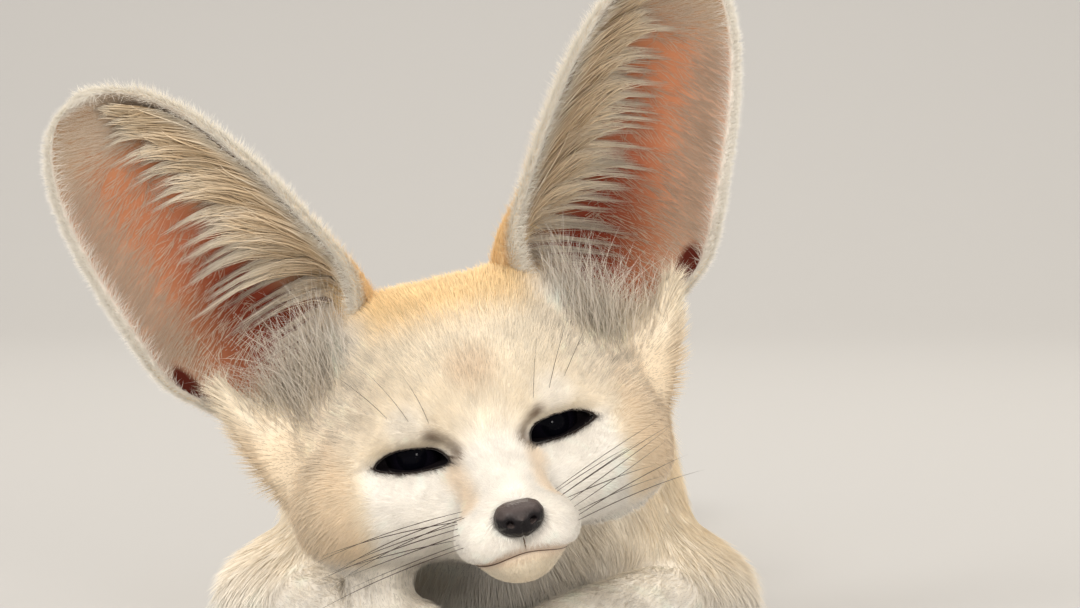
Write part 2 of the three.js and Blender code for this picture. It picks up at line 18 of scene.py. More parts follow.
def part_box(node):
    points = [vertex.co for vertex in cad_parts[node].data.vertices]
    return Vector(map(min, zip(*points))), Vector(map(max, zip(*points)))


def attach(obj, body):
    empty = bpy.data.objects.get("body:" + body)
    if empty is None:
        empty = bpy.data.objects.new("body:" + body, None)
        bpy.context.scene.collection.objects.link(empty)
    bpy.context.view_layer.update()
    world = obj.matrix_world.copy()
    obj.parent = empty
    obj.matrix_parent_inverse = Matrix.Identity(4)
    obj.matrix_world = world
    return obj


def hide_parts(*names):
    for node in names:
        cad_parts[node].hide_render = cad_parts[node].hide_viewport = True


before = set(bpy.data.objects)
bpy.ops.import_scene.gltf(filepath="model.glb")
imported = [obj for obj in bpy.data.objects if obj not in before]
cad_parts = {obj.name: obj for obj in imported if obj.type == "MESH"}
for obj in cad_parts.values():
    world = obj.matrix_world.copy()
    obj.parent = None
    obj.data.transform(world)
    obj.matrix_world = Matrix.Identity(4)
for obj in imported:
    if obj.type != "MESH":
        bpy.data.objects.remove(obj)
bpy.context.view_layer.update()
MM = 0.001

# %% [markdown]
# ## The head's own axes
# The head is rolled, turned and dipped a little, so left and right sides only match in its own
# axes. We don't guess them: the two eyeballs lie mirrored about the head's middle, so the line
# between them is its first axis, and the line on to the nose, which dips by a known angle, gives
# the other two. All places on the head below are millimetres in these axes: x to the fox's left,
# y towards the back of the head, z towards the crown.

# %% Read the head's axes off the eyes and the nose
EYE_BACK = 7.6
EYE_UP = 1.0
NOSE_DROP = math.radians(12.68)


def middle_of(node):
    low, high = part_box(node)
    return (low + high) / 2


eyes_middle = (middle_of("eye_left") + middle_of("eye_right")) / 2
head_x = (middle_of("eye_left") - middle_of("eye_right")).normalized()
to_nose = middle_of("nose") - eyes_middle
to_nose = (to_nose - head_x * to_nose.dot(head_x)).normalized()
beside = head_x.cross(to_nose)
head_y = -math.cos(NOSE_DROP) * to_nose + math.sin(NOSE_DROP) * beside
head_z = -math.sin(NOSE_DROP) * to_nose - math.cos(NOSE_DROP) * beside
head_origin = eyes_middle - head_y * EYE_BACK * MM - head_z * EYE_UP * MM
HEAD_TURN = np.array([head_x, head_y, head_z])
HEAD_ORIGIN = np.array(head_origin)


def to_head(points):
    return (np.asarray(points, float) - HEAD_ORIGIN) @ HEAD_TURN.T / MM


def from_head(places):
    return HEAD_ORIGIN + np.asarray(places, float) @ HEAD_TURN * MM


def turned(directions):
    return np.asarray(directions, float) @ HEAD_TURN


print("the brow is at", [round(c, 4) for c in head_origin])

# %% [markdown]
# ## Camera
# The photo is a close view with a long lens, nearly level with the eyes. A long lens keeps the
# face from swelling towards us. The camera is aimed at a point just above the brow, which puts
# the tip of the left ear past the top of the picture, as in the photo.

# %% Place the camera
AIM_FROM_BROW = Vector((13.5, 0, 33.6)) * MM
CAMERA_RISE = math.radians(3.5)
CAMERA_DISTANCE = 1.45

camera_data = bpy.data.cameras.new("portrait_lens")
camera_data.lens = 200
camera_data.sensor_width = 36
camera_data.clip_start = 0.05
camera = bpy.data.objects.new("portrait_camera", camera_data)
bpy.context.collection.objects.link(camera)
sight = Vector((0, math.cos(CAMERA_RISE), -math.sin(CAMERA_RISE)))
camera.location = head_origin + AIM_FROM_BROW - sight * CAMERA_DISTANCE
camera.rotation_euler = sight.to_track_quat("-Z", "Y").to_euler()
bpy.context.scene.camera = camera
print("camera height", round(camera.location.z, 3))

# %% [markdown]
# ## Floor and light
# Fur shows its form by the shadows between tufts, so the light has a direction, but each lamp is
# a large soft panel: one high in front, one overhead, one behind that rims the ears, and a pale
# room that fills the rest. A small low panel lights the throat and puts the spark in the eyes.
# The floor runs up into a curved back wall, so no horizon shows.

# %% Build the floor and its back wall
def make_material(name, settings):
    """A material whose shader has the given settings, its node tree, and the shader."""
    material = bpy.data.materials.new(name)
    material.use_nodes = True
    shader = material.node_tree.nodes["Principled BSDF"]
    for label, value in settings.items():
        shader.inputs[label].default_value = value
    return material, material.node_tree, shader


def add_object(name, mesh, *materials):
    made = bpy.data.objects.new(name, mesh)
    bpy.context.collection.objects.link(made)
    for material in materials:
        mesh.materials.append(material)
    return made


FLOOR_GREY = (0.47, 0.46, 0.45, 1)
FLOOR_REACH = 3.0  # metres to each side and to the front, and the height of the wall
WALL_BACK, WALL_CURVE, CURVE_STEPS = 1.6, 0.5, 12
floor_material, _, _ = make_material("pale_floor", {"Base Color": FLOOR_GREY, "Roughness": 0.9})
profile = [(-FLOOR_REACH, 0.0), (WALL_BACK - WALL_CURVE, 0.0)]
for step in range(1, CURVE_STEPS + 1):
    bend = math.pi / 2 * step / CURVE_STEPS
    profile.append(
        (WALL_BACK - WALL_CURVE * (1 - math.sin(bend)), WALL_CURVE * (1 - math.cos(bend)))
    )
profile.append((WALL_BACK, FLOOR_REACH))
backdrop_mesh = bpy.data.meshes.new("backdrop")
backdrop_mesh.from_pydata(
    [(x, y, z) for y, z in profile for x in (-FLOOR_REACH, FLOOR_REACH)],
    [],
    [(2 * i, 2 * i + 1, 2 * i + 3, 2 * i + 2) for i in range(len(profile) - 1)],
)
backdrop_mesh.shade_smooth()
backdrop = add_object("backdrop", backdrop_mesh, floor_material)
print("the floor and wall are", len(backdrop_mesh.polygons), "strips")

# %% Hang the lamps
LAMPS = {  # place and side length in metres, watts, and tint
    "front_panel": ((-0.6, -1.4, 0.9), 0.45, 9.5, (1.0, 0.98, 0.95)),
    "low_panel": ((0.35, -1.5, 0.3), 0.2, 4.5, (1.0, 0.97, 0.93)),
    "top_panel": ((0.25, -0.35, 1.5), 0.7, 4, (1.0, 0.97, 0.92)),
    "back_panel": ((0.1, 0.9, 1.4), 1.0, 20, (1.0, 0.95, 0.86)),
}
ROOM_TINT, ROOM_STRENGTH = (1.0, 0.96, 0.91, 1), 0.7


def add_lamp(name, place, size, watts, tint):
    lamp = bpy.data.lights.new(name, "AREA")
    lamp.energy, lamp.size, lamp.color = watts, size, tint
    made = bpy.data.objects.new(name, lamp)
    made.location = place
    aim = head_origin - Vector(place)
    made.rotation_euler = aim.to_track_quat("-Z", "Y").to_euler()
    bpy.context.collection.objects.link(made)


for name, lamp in LAMPS.items():
    add_lamp(name, *lamp)
world = bpy.data.worlds.new("room")
world.use_nodes = True
world.node_tree.nodes["Background"].inputs["Color"].default_value = ROOM_TINT
world.node_tree.nodes["Background"].inputs["Strength"].default_value = ROOM_STRENGTH
bpy.context.scene.world = world
bpy.context.scene.view_settings.view_transform = "Standard"
print(len(LAMPS), "lamps, and a room that fills the shadows")

# %% [markdown]
# ## Small tools for meshes
# The skin has tens of thousands of points, so its fields (how long the coat is, which way it lies,
# what colour it has) are arrays with one row for each point. `even_out` is the one idea used again
# and again: replace each row by the mean of its neighbours, a few times, and a hard border melts.

# %% Helpers for points, edges and attributes
def points_of(mesh):
    rows = np.empty(len(mesh.vertices) * 3, np.float32)
    mesh.vertices.foreach_get("co", rows)
    return rows.reshape(-1, 3).astype(float)


def normals_of(mesh):
    rows = np.empty(len(mesh.vertices) * 3, np.float32)
    mesh.vertices.foreach_get("normal", rows)
    return rows.reshape(-1, 3).astype(float)


def edges_of(mesh):
    rows = np.empty(len(mesh.edges) * 2, np.int32)
    mesh.edges.foreach_get("vertices", rows)
    return rows.reshape(-1, 2)


def corners_of(mesh):
    """The number of the point that each face corner sits on."""
    rows = np.empty(len(mesh.loops), np.int32)
    mesh.loops.foreach_get("vertex_index", rows)
    return rows


def move_points(mesh, points):
    mesh.vertices.foreach_set("co", np.asarray(points, np.float32).ravel())
    mesh.update()


def store(mesh, name, values, kind="FLOAT"):
    old = mesh.attributes.get(name)
    if old:
        mesh.attributes.remove(old)
    field = {"FLOAT": "value", "FLOAT_VECTOR": "vector", "FLOAT_COLOR": "color"}[kind]
    layer = mesh.attributes.new(name, kind, "POINT")
    layer.data.foreach_set(field, np.asarray(values, np.float32).ravel())


def stored(mesh, name):
    rows = np.empty(len(mesh.vertices), np.float32)
    mesh.attributes[name].data.foreach_get("value", rows)
    return rows


def even_out(edges, values, rounds, weight=0.5):
    values = np.array(values, float)
    flat = values.reshape(len(values), -1)
    a, b = edges.T
    count = np.bincount(a, minlength=len(flat)) + np.bincount(b, minlength=len(flat))
    count = np.maximum(count, 1)
    for _ in range(rounds):
        for column in range(flat.shape[1]):
            near = np.bincount(a, flat[b, column], len(flat))
            near += np.bincount(b, flat[a, column], len(flat))
            flat[:, column] += weight * (near / count - flat[:, column])
    return flat.reshape(values.shape)


def unit(vectors):
    return vectors / np.maximum(np.linalg.norm(vectors, axis=1, keepdims=True), 1e-9)


def ramp(values, low, high):
    t = np.clip((values - low) / (high - low), 0, 1)
    return t * t * (3 - 2 * t)


def plain_mesh(made):
    """The object's mesh with its modifiers worked in, and none left on it."""
    seen = made.evaluated_get(bpy.context.evaluated_depsgraph_get())
    mesh = bpy.data.meshes.new_from_object(seen)
    made.modifiers.clear()
    old, made.data = made.data, mesh
    bpy.data.meshes.remove(old)
    return mesh


def closed_mesh(name, points, faces):
    """A mesh of these points and faces, with all its faces turned outwards."""
    mesh = bpy.data.meshes.new(name)
    mesh.from_pydata([tuple(point) for point in points], [], faces)
    body = bmesh.new()
    body.from_mesh(mesh)
    bmesh.ops.recalc_face_normals(body, faces=body.faces)
    body.to_mesh(mesh)
    body.free()
    return mesh


def surface_of(points, mesh):
    """A surface that can be asked where a ray meets it, and for its nearest point."""
    faces = [tuple(face.vertices) for face in mesh.polygons]
    return BVHTree.FromPolygons([Vector(point) for point in points], faces)


# %% [markdown]
# ## The tail's line
# The solid tail is a brush of locks, so its bone can't be read off any one point. Slicing it
# across, as a loaf is sliced, works: the middle of each slice lies on the tail's line, and half
# the slice's width is how far the brush reaches.

# %% Slice the solid tail
TAIL_SLICES = 15
SLICE_HALF = 9 * MM
FIRST_SLICE, LAST_SLICE = 6 * MM, 14 * MM  # how far in from the tail's two ends
tail_cloud = np.vstack([points_of(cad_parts[n].data) for n in ("tail", "tail_tip")])
tail_start = tail_cloud[:, 1].min()
tail_end = tail_cloud[:, 1].max()
tail_steps = np.linspace(tail_start + FIRST_SLICE, tail_end - LAST_SLICE, TAIL_SLICES)
tail_line, tail_reach = [], []
for y in tail_steps:
    near = tail_cloud[np.abs(tail_cloud[:, 1] - y) < SLICE_HALF]
    low, high = near.min(axis=0), near.max(axis=0)
    tail_line.append(((low[0] + high[0]) / 2, y, (low[2] + high[2]) / 2))
    tail_reach.append((high[0] - low[0]) / 2)
tail_line, tail_reach = np.array(tail_line), np.array(tail_reach)
chain = np.array([(i, i + 1) for i in range(TAIL_SLICES - 1)])
tail_line[1:-1] = even_out(chain, tail_line, 2)[1:-1]
tail_reach = even_out(chain, tail_reach, 2)
print("the tail's reach in mm", [round(r / MM) for r in tail_reach])

# %% [markdown]
# ## One skin
# The solids are parted where a person would name the parts, but skin has no seams. Copies of the
# solids, swollen just enough to touch, are melted into one surface by a voxel remesh, which keeps
# only what faces outwards. The eyeballs go in too, so that the sockets don't leave hollows. The
# tail goes in as a slim tube along its line, because its thickness is nearly all hair. An ear
# stands on muscles, which round off the step between its cup and the head, so three more tubes
# fill each side: one in front of the ear, one towards the crown and one under its bulging root.

# %% Helpers that swell a solid and wrap a line in a tube
SIDES = ("left", "right")
LIMBS = ("upper_arm", "forearm", "forepaw", "thigh", "hind_foot", "hind_paw")
FLESH = ["head", "neck", "torso"] + [f"{limb}_{side}" for limb in LIMBS for side in SIDES]


def swollen(node, grow):
    body = bmesh.new()
    body.from_mesh(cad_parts[node].data)
    bmesh.ops.remove_doubles(body, verts=body.verts, dist=1e-6)
    body.normal_update()
    for point in body.verts:
        point.co += point.normal * grow
    mesh = bpy.data.meshes.new(node + "_swollen")
    body.to_mesh(mesh)
    body.free()
    return mesh


def tube(line, radii, sides=16):
    """A closed tube of rings round the points of a line, with a tip at each end."""
    line = np.asarray(line)
    along = unit(np.gradient(line, axis=0))
    across = unit(np.cross(along, (0, 0, 1)))
    up = np.cross(across, along)
    rows = []
    for i in range(len(line)):
        for k in range(sides):
            turn = 2 * math.pi * k / sides
            out = across[i] * math.cos(turn) + up[i] * math.sin(turn)
            rows.append(line[i] + out * radii[i])
    rows += [line[0] - along[0] * radii[0] * 0.5, line[-1] + along[-1] * radii[-1] * 0.5]
    faces = []
    for i in range(len(line) - 1):
        for k in range(sides):
            a, b = i * sides + k, i * sides + (k + 1) % sides
            faces.append((a, b, b + sides, a + sides))
    last = (len(line) - 1) * sides
    for k in range(sides):
        faces.append(((k + 1) % sides, k, last + sides))
        faces.append((last + k, last + (k + 1) % sides, last + sides + 1))
    return closed_mesh("tube", rows, faces)


# %% Melt the solids into one skin
SKIN_STEP = 1.7 * MM
SWELL = 0.4 * MM
TAIL_BONE = 0.36  # share of the brush's reach that is flesh
BONE_START = np.array([0, -20, 6]) * MM  # from the tail's first slice into the rump
EAR_FILLINGS = {  # places in head millimetres, and the radius at each
    "front": (((37, 20, -22), (43, 25, -10), (48.5, 29, 2), (54, 32, 14), (58, 34, 24)),
              (5, 8, 8.5, 7, 4)),
    "crown": (((14, 42, 22), (17.5, 44, 30), (21.5, 43, 38), (27, 41, 46)), (5, 6.5, 5.5, 3)),
    "bulb": (((27, 39, -8), (28, 44, 1), (29, 45, 9)), (11, 13, 9)),
}
bone_line = np.vstack([tail_line[0] + BONE_START, tail_line])
bone_radii = np.concatenate([[tail_reach[0]], tail_reach]) * TAIL_BONE
all_flesh = bmesh.new()
for node in FLESH:
    all_flesh.from_mesh(swollen(node, SWELL))
for side in SIDES:
    all_flesh.from_mesh(swollen(f"eye_{side}", SWELL * 2))
all_flesh.from_mesh(tube(bone_line, bone_radii))
for mirror in (1, -1):
    for places, radii in EAR_FILLINGS.values():
        filling = from_head(np.array(places) * (mirror, 1, 1))
        all_flesh.from_mesh(tube(filling, np.array(radii) * MM))
skin_mesh = bpy.data.meshes.new("skin")
all_flesh.to_mesh(skin_mesh)
all_flesh.free()
skin = add_object("skin", skin_mesh)
melt = skin.modifiers.new("melt", "REMESH")
melt.mode = "VOXEL"
melt.voxel_size = SKIN_STEP
skin_mesh = plain_mesh(skin)
print("melted into", len(skin_mesh.vertices), "points")


# %% Keep only the surface that faces outwards
def keep_outer_surface(mesh):
    """Deletes every island of faces but the one with the most points."""
    body = bmesh.new()
    body.from_mesh(mesh)
    unseen, best = set(body.verts), []
    while unseen:
        island, edge_of_island = [], [unseen.pop()]
        while edge_of_island:
            point = edge_of_island.pop()
            island.append(point)
            for edge in point.link_edges:
                other = edge.other_vert(point)
                if other in unseen:
                    unseen.remove(other)
                    edge_of_island.append(other)
        if len(island) > len(best):
            island, best = best, island
        bmesh.ops.delete(body, geom=island, context="VERTS")
    body.to_mesh(mesh)
    body.free()


keep_outer_surface(skin_mesh)
print("skin:", len(skin_mesh.vertices), "points")

# %% [markdown]
# ## Smoothing without shrinking
# The remesh copies every facet of the solids. Plain smoothing would shrink thin paws, so each
# smoothing step is followed by one in the other direction that is nearly as strong. The heels are
# the exception: the solid is cut off flat there, and a heel is a round knob, so near it the skin
# is evened out as often as it takes.

# %% Smooth the skin
SMOOTH_ROUNDS, SMOOTH_IN, SMOOTH_OUT = 9, 0.6, -0.56
HEEL_LENGTH, HEEL_ROUNDS = 12 * MM, 30
HEEL_CORE, HEEL_REACH = 12 * MM, 24 * MM
skin_edges = edges_of(skin_mesh)
skin_points = points_of(skin_mesh)
for _ in range(SMOOTH_ROUNDS):
    skin_points = even_out(skin_edges, skin_points, 1, SMOOTH_IN)
    skin_points = even_out(skin_edges, skin_points, 1, SMOOTH_OUT)
for side in SIDES:
    foot = points_of(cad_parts[f"hind_foot_{side}"].data)
    heel = foot[foot[:, 1] > foot[:, 1].max() - HEEL_LENGTH].mean(axis=0)
    away = np.linalg.norm(skin_points - heel, axis=1)
    near_heel = ramp(-away, -HEEL_REACH, -HEEL_CORE)[:, None]
    for _ in range(HEEL_ROUNDS):
        skin_points += near_heel * (even_out(skin_edges, skin_points, 1) - skin_points)
    print(side, "heel rounded:", int((near_heel > 0).sum()), "points")
move_points(skin_mesh, skin_points)

# %% [markdown]
# ## Which part is this?
# Coat length, lie and colour depend on the part of the body. The nearest solid names the part of
# each point of skin, and evening out that choice gives soft shares where two parts meet.

# %% Share each point of skin among the parts
PARTS = ("head", "neck", "torso") + LIMBS + ("tail",)
BORDER_ROUNDS = 12
part_points, part_faces, part_names = [], [], []
for node in FLESH + ["tail", "tail_tip"]:
    base = len(part_points)
    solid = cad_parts[node].data
    part_points += [point.co.copy() for point in solid.vertices]
    for face in solid.polygons:
        part_faces.append([base + i for i in face.vertices])
        part_names.append(node)
nearest_solid = BVHTree.FromPolygons(part_points, part_faces)


def part_of(node):
    stem = node.removesuffix("_left").removesuffix("_right").removesuffix("_tip")
    return PARTS.index(stem)


def part_shares(points, edges):
    choice = np.zeros((len(points), len(PARTS)))
    for row, point in enumerate(points):
        _, _, face, _ = nearest_solid.find_nearest(point)
        choice[row, part_of(part_names[face])] = 1
    return even_out(edges, choice, BORDER_ROUNDS)


shares = part_shares(skin_points, skin_edges)
print({part: int(shares[:, i].sum()) for i, part in enumerate(PARTS)})

# %% [markdown]
# ## How long the coat is
# A fennec's coat is a millimetre or two on the bridge of the nose and round the eyes, and many
# times that on the cheeks, the back and the tail. One function gives the length of hair at any
# point, and the skin lies under the solids' outline by a third of it, as hair that leans back
# stands about a third as high as it is long.

# %% Coat length at every point
EYE_OPENING = np.array([19.6, -5.5, 1.2])
EAR_FRONT = np.array([38.0, 27.0, 22.0])
EAR_BEHIND = np.array([38.0, 50.0, 1.0])
EAR_RIDGE = np.array([22.0, 27.0, 25.0])
PART_LENGTH = {
    "neck": 13, "torso": 15, "upper_arm": 9, "forearm": 5, "forepaw": 3.2,
    "thigh": 12, "hind_foot": 4, "hind_paw": 3.2, "tail": 26,
}
HAIR_RISE = 0.33


def mirrored(places):
    return np.abs(places) * (1, 0, 0) + places * (0, 1, 1)


def near_to(places, centre, full, none):
    """1 within `full` mm of a centre, falling to 0 at `none` mm, on both sides of the head."""
    away = np.linalg.norm(mirrored(places) - centre, axis=1)
    return ramp(-away, -none, -full)


def head_length(places):
    x, y, z = np.abs(places[:, 0]), places[:, 1], places[:, 2]
    length = 1.6 + 1.4 * ramp(y, -34, -10) + 2.4 * ramp(y, -10, 14) + 4.0 * ramp(y, 16, 40)
    cheek = ramp(x, 24, 38) * ramp(y, -8, 14) * ramp(-z, -14, 2)
    length += 3.0 * cheek
    length += 3.5 * ramp(-z, 20, 30) * ramp(y, -22, 6)
    by_eye = near_to(places, EYE_OPENING, 8, 17)
    length = length * (1 - by_eye) + 1.5 * by_eye
    length += 5.5 * near_to(places, EAR_FRONT, 6, 18)
    length += 3.0 * near_to(places, EAR_RIDGE, 3, 9)
    return length + 8.0 * near_to(places, EAR_BEHIND, 9, 24)


def coat_length(points, shares):
    lengths = np.zeros(len(points))
    for column, part in enumerate(PARTS):
        here = head_length(to_head(points)) if part == "head" else PART_LENGTH[part]
        lengths += shares[:, column] * here
    return lengths / shares.sum(axis=1)


# %% Make the skin finer round the eyes and the muzzle
def refine(mesh, wanted):
    """Splits every face whose points are all wanted into four."""
    body = bmesh.new()
    body.from_mesh(mesh)
    body.verts.ensure_lookup_table()
    faces = [f for f in body.faces if all(wanted[v.index] for v in f.verts)]
    edges = list({edge for f in faces for edge in f.edges})
    bmesh.ops.subdivide_edges(body, edges=edges, cuts=1, use_grid_fill=True)
    body.to_mesh(mesh)
    body.free()
    return edges_of(mesh), points_of(mesh)


EYE_CENTRE = np.array([16.0, EYE_BACK, EYE_UP])
skin_places = to_head(skin_points)
by_muzzle = (skin_places[:, 1] < -4) & (np.abs(skin_places[:, 2] + 6) < 26)
by_eye = np.linalg.norm(mirrored(skin_places) - EYE_CENTRE, axis=1) < 22
skin_edges, skin_points = refine(skin_mesh, by_muzzle | (by_eye & (skin_places[:, 1] < 12)))
skin_points = even_out(skin_edges, skin_points, 2, 0.4)
move_points(skin_mesh, skin_points)
shares = part_shares(skin_points, skin_edges)

# %% Sink the skin under the coat
SKIN_ABOVE_FLOOR = 0.6 * MM
lengths = coat_length(skin_points, shares)
depth = lengths * HAIR_RISE * MM * (1 - shares[:, PARTS.index("tail")])
skin_points = skin_points - normals_of(skin_mesh) * even_out(skin_edges, depth, 4)[:, None]
skin_points = even_out(skin_edges, skin_points, 2)
skin_points[:, 2] = np.maximum(skin_points[:, 2], SKIN_ABOVE_FLOOR)
move_points(skin_mesh, skin_points)
print("coat length in mm:", lengths.min().round(1), "to", lengths.max().round(1))

# %% [markdown]
# ## The eye's opening
# Lids are a slit in the skin over a round eyeball. The slit is a narrow almond, nearly level from
# corner to corner, and it is cut straight in along the line of sight. First the skin is drawn
# down on the eyeball, so that the cut leaves thin lids. The edge is later rimmed with a dark,
# slightly raised margin, which is what makes an animal's eye look set in and not pasted on.

# %% Draw the almond
EYE_RADIUS = 8.8
EYE_OUTWARD = math.radians(14)
EYE_SLANT = math.radians(-1)
LID_WIDTH, LID_HEIGHT, LID_INWARD, LID_DROP = 19.8, 5.7, 0.6, 0.7
ALMOND_STEPS = 22
gaze = np.array([math.sin(EYE_OUTWARD), -math.cos(EYE_OUTWARD), 0])
eye_across = np.array([math.cos(EYE_OUTWARD), math.sin(EYE_OUTWARD), 0])
slit_across = eye_across * math.cos(EYE_SLANT) + np.array([0, 0, math.sin(EYE_SLANT)])
slit_up = np.array([0, 0, math.cos(EYE_SLANT)]) - eye_across * math.sin(EYE_SLANT)


def cubic(a, b, c, d, t):
    """A curve from a to d that leaves towards b and arrives from c."""
    return a * (1 - t) ** 3 + 3 * b * t * (1 - t) ** 2 + 3 * c * t * t * (1 - t) + d * t**3


def almond(grow=0.0):
    """The lids' edge, counted in mm across and up from the eye's middle, from the inner corner."""
    w, h = LID_WIDTH / 2 + grow, LID_HEIGHT + 2 * grow
    inner = -LID_HEIGHT * 0.15
    rows = []
    for k in range(ALMOND_STEPS):
        t = k / ALMOND_STEPS
        rows.append((cubic(-w, -w / 2, w * 0.72, w, t), cubic(inner, h * 0.56, h * 0.74, 0, t)))
    for k in range(ALMOND_STEPS):
        t = k / ALMOND_STEPS
        rows.append((cubic(w, w * 0.6, -w / 2, -w, t), cubic(0, -h * 0.55, -h * 0.62, inner, t)))
    return np.array(rows)


def mirror_places(places, side):
    return places * ((1, 1, 1) if side == "left" else (-1, 1, 1))


def almond_places(reach, grow=0.0):
    rows = almond(grow)
    flat = (rows[:, :1] - LID_INWARD) * slit_across + (rows[:, 1:] - LID_DROP) * slit_up
    return EYE_CENTRE + flat + gaze * reach


print("the lids' edge has", len(almond()), "points")


# %% Draw the skin down on the eyeballs
LID_REACH = EYE_RADIUS + 0.9  # the lids' outer face, in mm from the eyeball's middle
LID_ROUNDS = 36
SOCKET = (13, 9)  # half the width and height of the skin that is evened out, in mm
HUG, HUG_SIZE = 0.2, (9.5, 3.4)  # how fast the lids close in, and half their width and height
FINE_RING = (13, 8)  # half the width and height of the skin that gets finer
FRONT = 2  # only skin this far before the eyeball's middle counts, in mm


def eye_axes(places):
    """Places in mm across, up and out from the eye on their own side of the head."""
    from_eye = mirrored(places) - EYE_CENTRE
    return from_eye @ slit_across, from_eye @ slit_up, from_eye @ gaze


for _ in range(LID_ROUNDS):
    u, v, ahead = eye_axes(to_head(skin_points))
    round_eye = ramp(-np.hypot(u / SOCKET[0], v / SOCKET[1]), -1.25, -0.75) * (ahead > FRONT)
    softer = even_out(skin_edges, skin_points, 1, 0.6)
    skin_points += (softer - skin_points) * round_eye[:, None]
    now = to_head(skin_points)
    from_ball = now - np.sign(now[:, :1]) * (1, 0, 0) * EYE_CENTRE
    from_ball -= EYE_CENTRE * (0, 1, 1)
    gap = LID_REACH - np.linalg.norm(from_ball, axis=1)
    on_lids = np.hypot((u + LID_INWARD) / HUG_SIZE[0], (v + LID_DROP) / HUG_SIZE[1])
    hug = HUG * ramp(-on_lids, -1.25, -0.8)
    push = np.where(gap > 0, gap, gap * hug) * (ahead > FRONT)
    skin_points += turned(unit(from_ball) * push[:, None]) * MM
move_points(skin_mesh, skin_points)
in_ring = (ahead > FRONT) & (np.hypot(u / FINE_RING[0], v / FINE_RING[1]) < 1)
skin_edges, skin_points = refine(skin_mesh, in_ring)
uncut_skin = surface_of(skin_points, skin_mesh)
print("finer round the lids:", len(skin_points), "points")


# %% Cut the lids open
CUT_START, CUT_END = EYE_RADIUS - 3.5, 24  # how far the cut reaches from the eyeball's middle


def almond_cutter(side):
    """A closed block with the almond's outline, along the line of sight."""
    near = from_head(mirror_places(almond_places(CUT_START), side))
    far = from_head(mirror_places(almond_places(CUT_END), side))
    count = len(near)
    faces = [tuple(range(count)), tuple(range(2 * count - 1, count - 1, -1))]
    for k in range(count):
        faces.append((k, count + k, count + (k + 1) % count, (k + 1) % count))
    block = closed_mesh("cutter_" + side, np.vstack([near, far]), faces)
    return add_object("cutter_" + side, block)


cutters = [almond_cutter(side) for side in SIDES]
for cutter in cutters:
    slit = skin.modifiers.new("slit", "BOOLEAN")
    slit.operation, slit.object, slit.solver = "DIFFERENCE", cutter, "MANIFOLD"
skin_mesh = plain_mesh(skin)
for cutter in cutters:
    bpy.data.objects.remove(cutter)
print("skin with its lids cut:", len(skin_mesh.vertices), "points")

# %% [markdown]
# ## The line of the mouth
# The mouth is closed: a fine dark line that droops from the middle to its corners. We walk round
# the muzzle from one corner to the other, shoot a ray outwards at the height of the line, and note
# where it leaves the skin. Skin near those points is pressed in a little, which makes the crease.

# %% Find the line of the mouth and the groove under the nose
MOUTH_TURN = math.radians(58)  # from the middle to each corner, seen from inside the muzzle
MOUTH_STEPS = 41
MOUTH_HEIGHT = -19.3
MOUTH_DROOP = 3.4
MOUTH_HALF, DROOP_POWER = 13, 1.6  # the droop is full at this half width, and starts slowly
MOUTH_MIDDLE = np.array([0.0, -24.0, 0.0])
GROOVE_TOP, GROOVE_END, GROOVE_STEPS = -15.6, -19.0, 7
GROOVE_START = -30  # the rays for the groove start here, within the muzzle


def skin_from_inside(start, direction):
    """Where a ray from inside the head leaves the skin, in head millimetres."""
    origin = Vector(from_head(start))
    hit = uncut_skin.ray_cast(origin, Vector(turned(direction)))[0]
    return to_head(np.array(hit))


mouth_line = []
for k in range(MOUTH_STEPS):
    turn = -MOUTH_TURN + 2 * MOUTH_TURN * k / (MOUTH_STEPS - 1)
    direction = np.array([math.sin(turn), -math.cos(turn), 0])
    height = MOUTH_HEIGHT
    for _ in range(3):
        found = skin_from_inside(MOUTH_MIDDLE + (0, 0, height), direction)
        height = MOUTH_HEIGHT - MOUTH_DROOP * min(1, (abs(found[0]) / MOUTH_HALF) ** DROOP_POWER)
    mouth_line.append(found)
mouth_line = np.array(mouth_line)
groove_heights = np.linspace(GROOVE_TOP, GROOVE_END, GROOVE_STEPS)
groove_line = np.array(
    [skin_from_inside((0, GROOVE_START, z), (0, -1, 0)) for z in groove_heights]
)
print("mouth corners at", mouth_line[0].round(1), mouth_line[-1].round(1))

# %% Press in both lines
CREASE_DEPTH = 0.9
CREASE_WIDTH = 1.5


def distance_to_line(places, line):
    best = np.full(len(places), np.inf)
    for point in line:
        best = np.minimum(best, np.linalg.norm(places - point, axis=1))
    return best


skin_edges = edges_of(skin_mesh)
skin_points = points_of(skin_mesh)
skin_places = to_head(skin_points)
from_mouth = distance_to_line(skin_places, np.vstack([mouth_line, groove_line]))
press = CREASE_DEPTH * np.exp(-((from_mouth / CREASE_WIDTH) ** 2)) * MM
skin_points = skin_points - normals_of(skin_mesh) * press[:, None]
move_points(skin_mesh, skin_points)
skin_places = to_head(skin_points)
shares = part_shares(skin_points, skin_edges)
lengths = coat_length(skin_points, shares)
print("the deepest crease is", round(press.max() / MM, 2), "mm")

# %% [markdown]
# ## The lie of the coat
# Hair leans. On the head it starts at the nose and flows back, up over the brow and out towards
# the ears; on the body it runs back and down; on the legs it runs to the toes, and on the tail
# to its tip. Each part has a simple direction, these are mixed by the shares, laid flat on the
# skin, and evened out so that neighbouring hairs agree.

# %% Which way hair lies on each part
NOSE_WHORL = np.array([0.0, -47.0, -5.0])
PLAIN_LIE = {
    "neck": (0, 1, -0.45), "torso": (0, 1, -0.3), "upper_arm": (0, 0.15, -1),
    "forepaw": (0, -1, -0.15), "thigh": (0, 0.35, -1), "hind_paw": (0, -1, -0.15),
}
PAW_OF = {"forearm": "forepaw", "hind_foot": "hind_paw"}


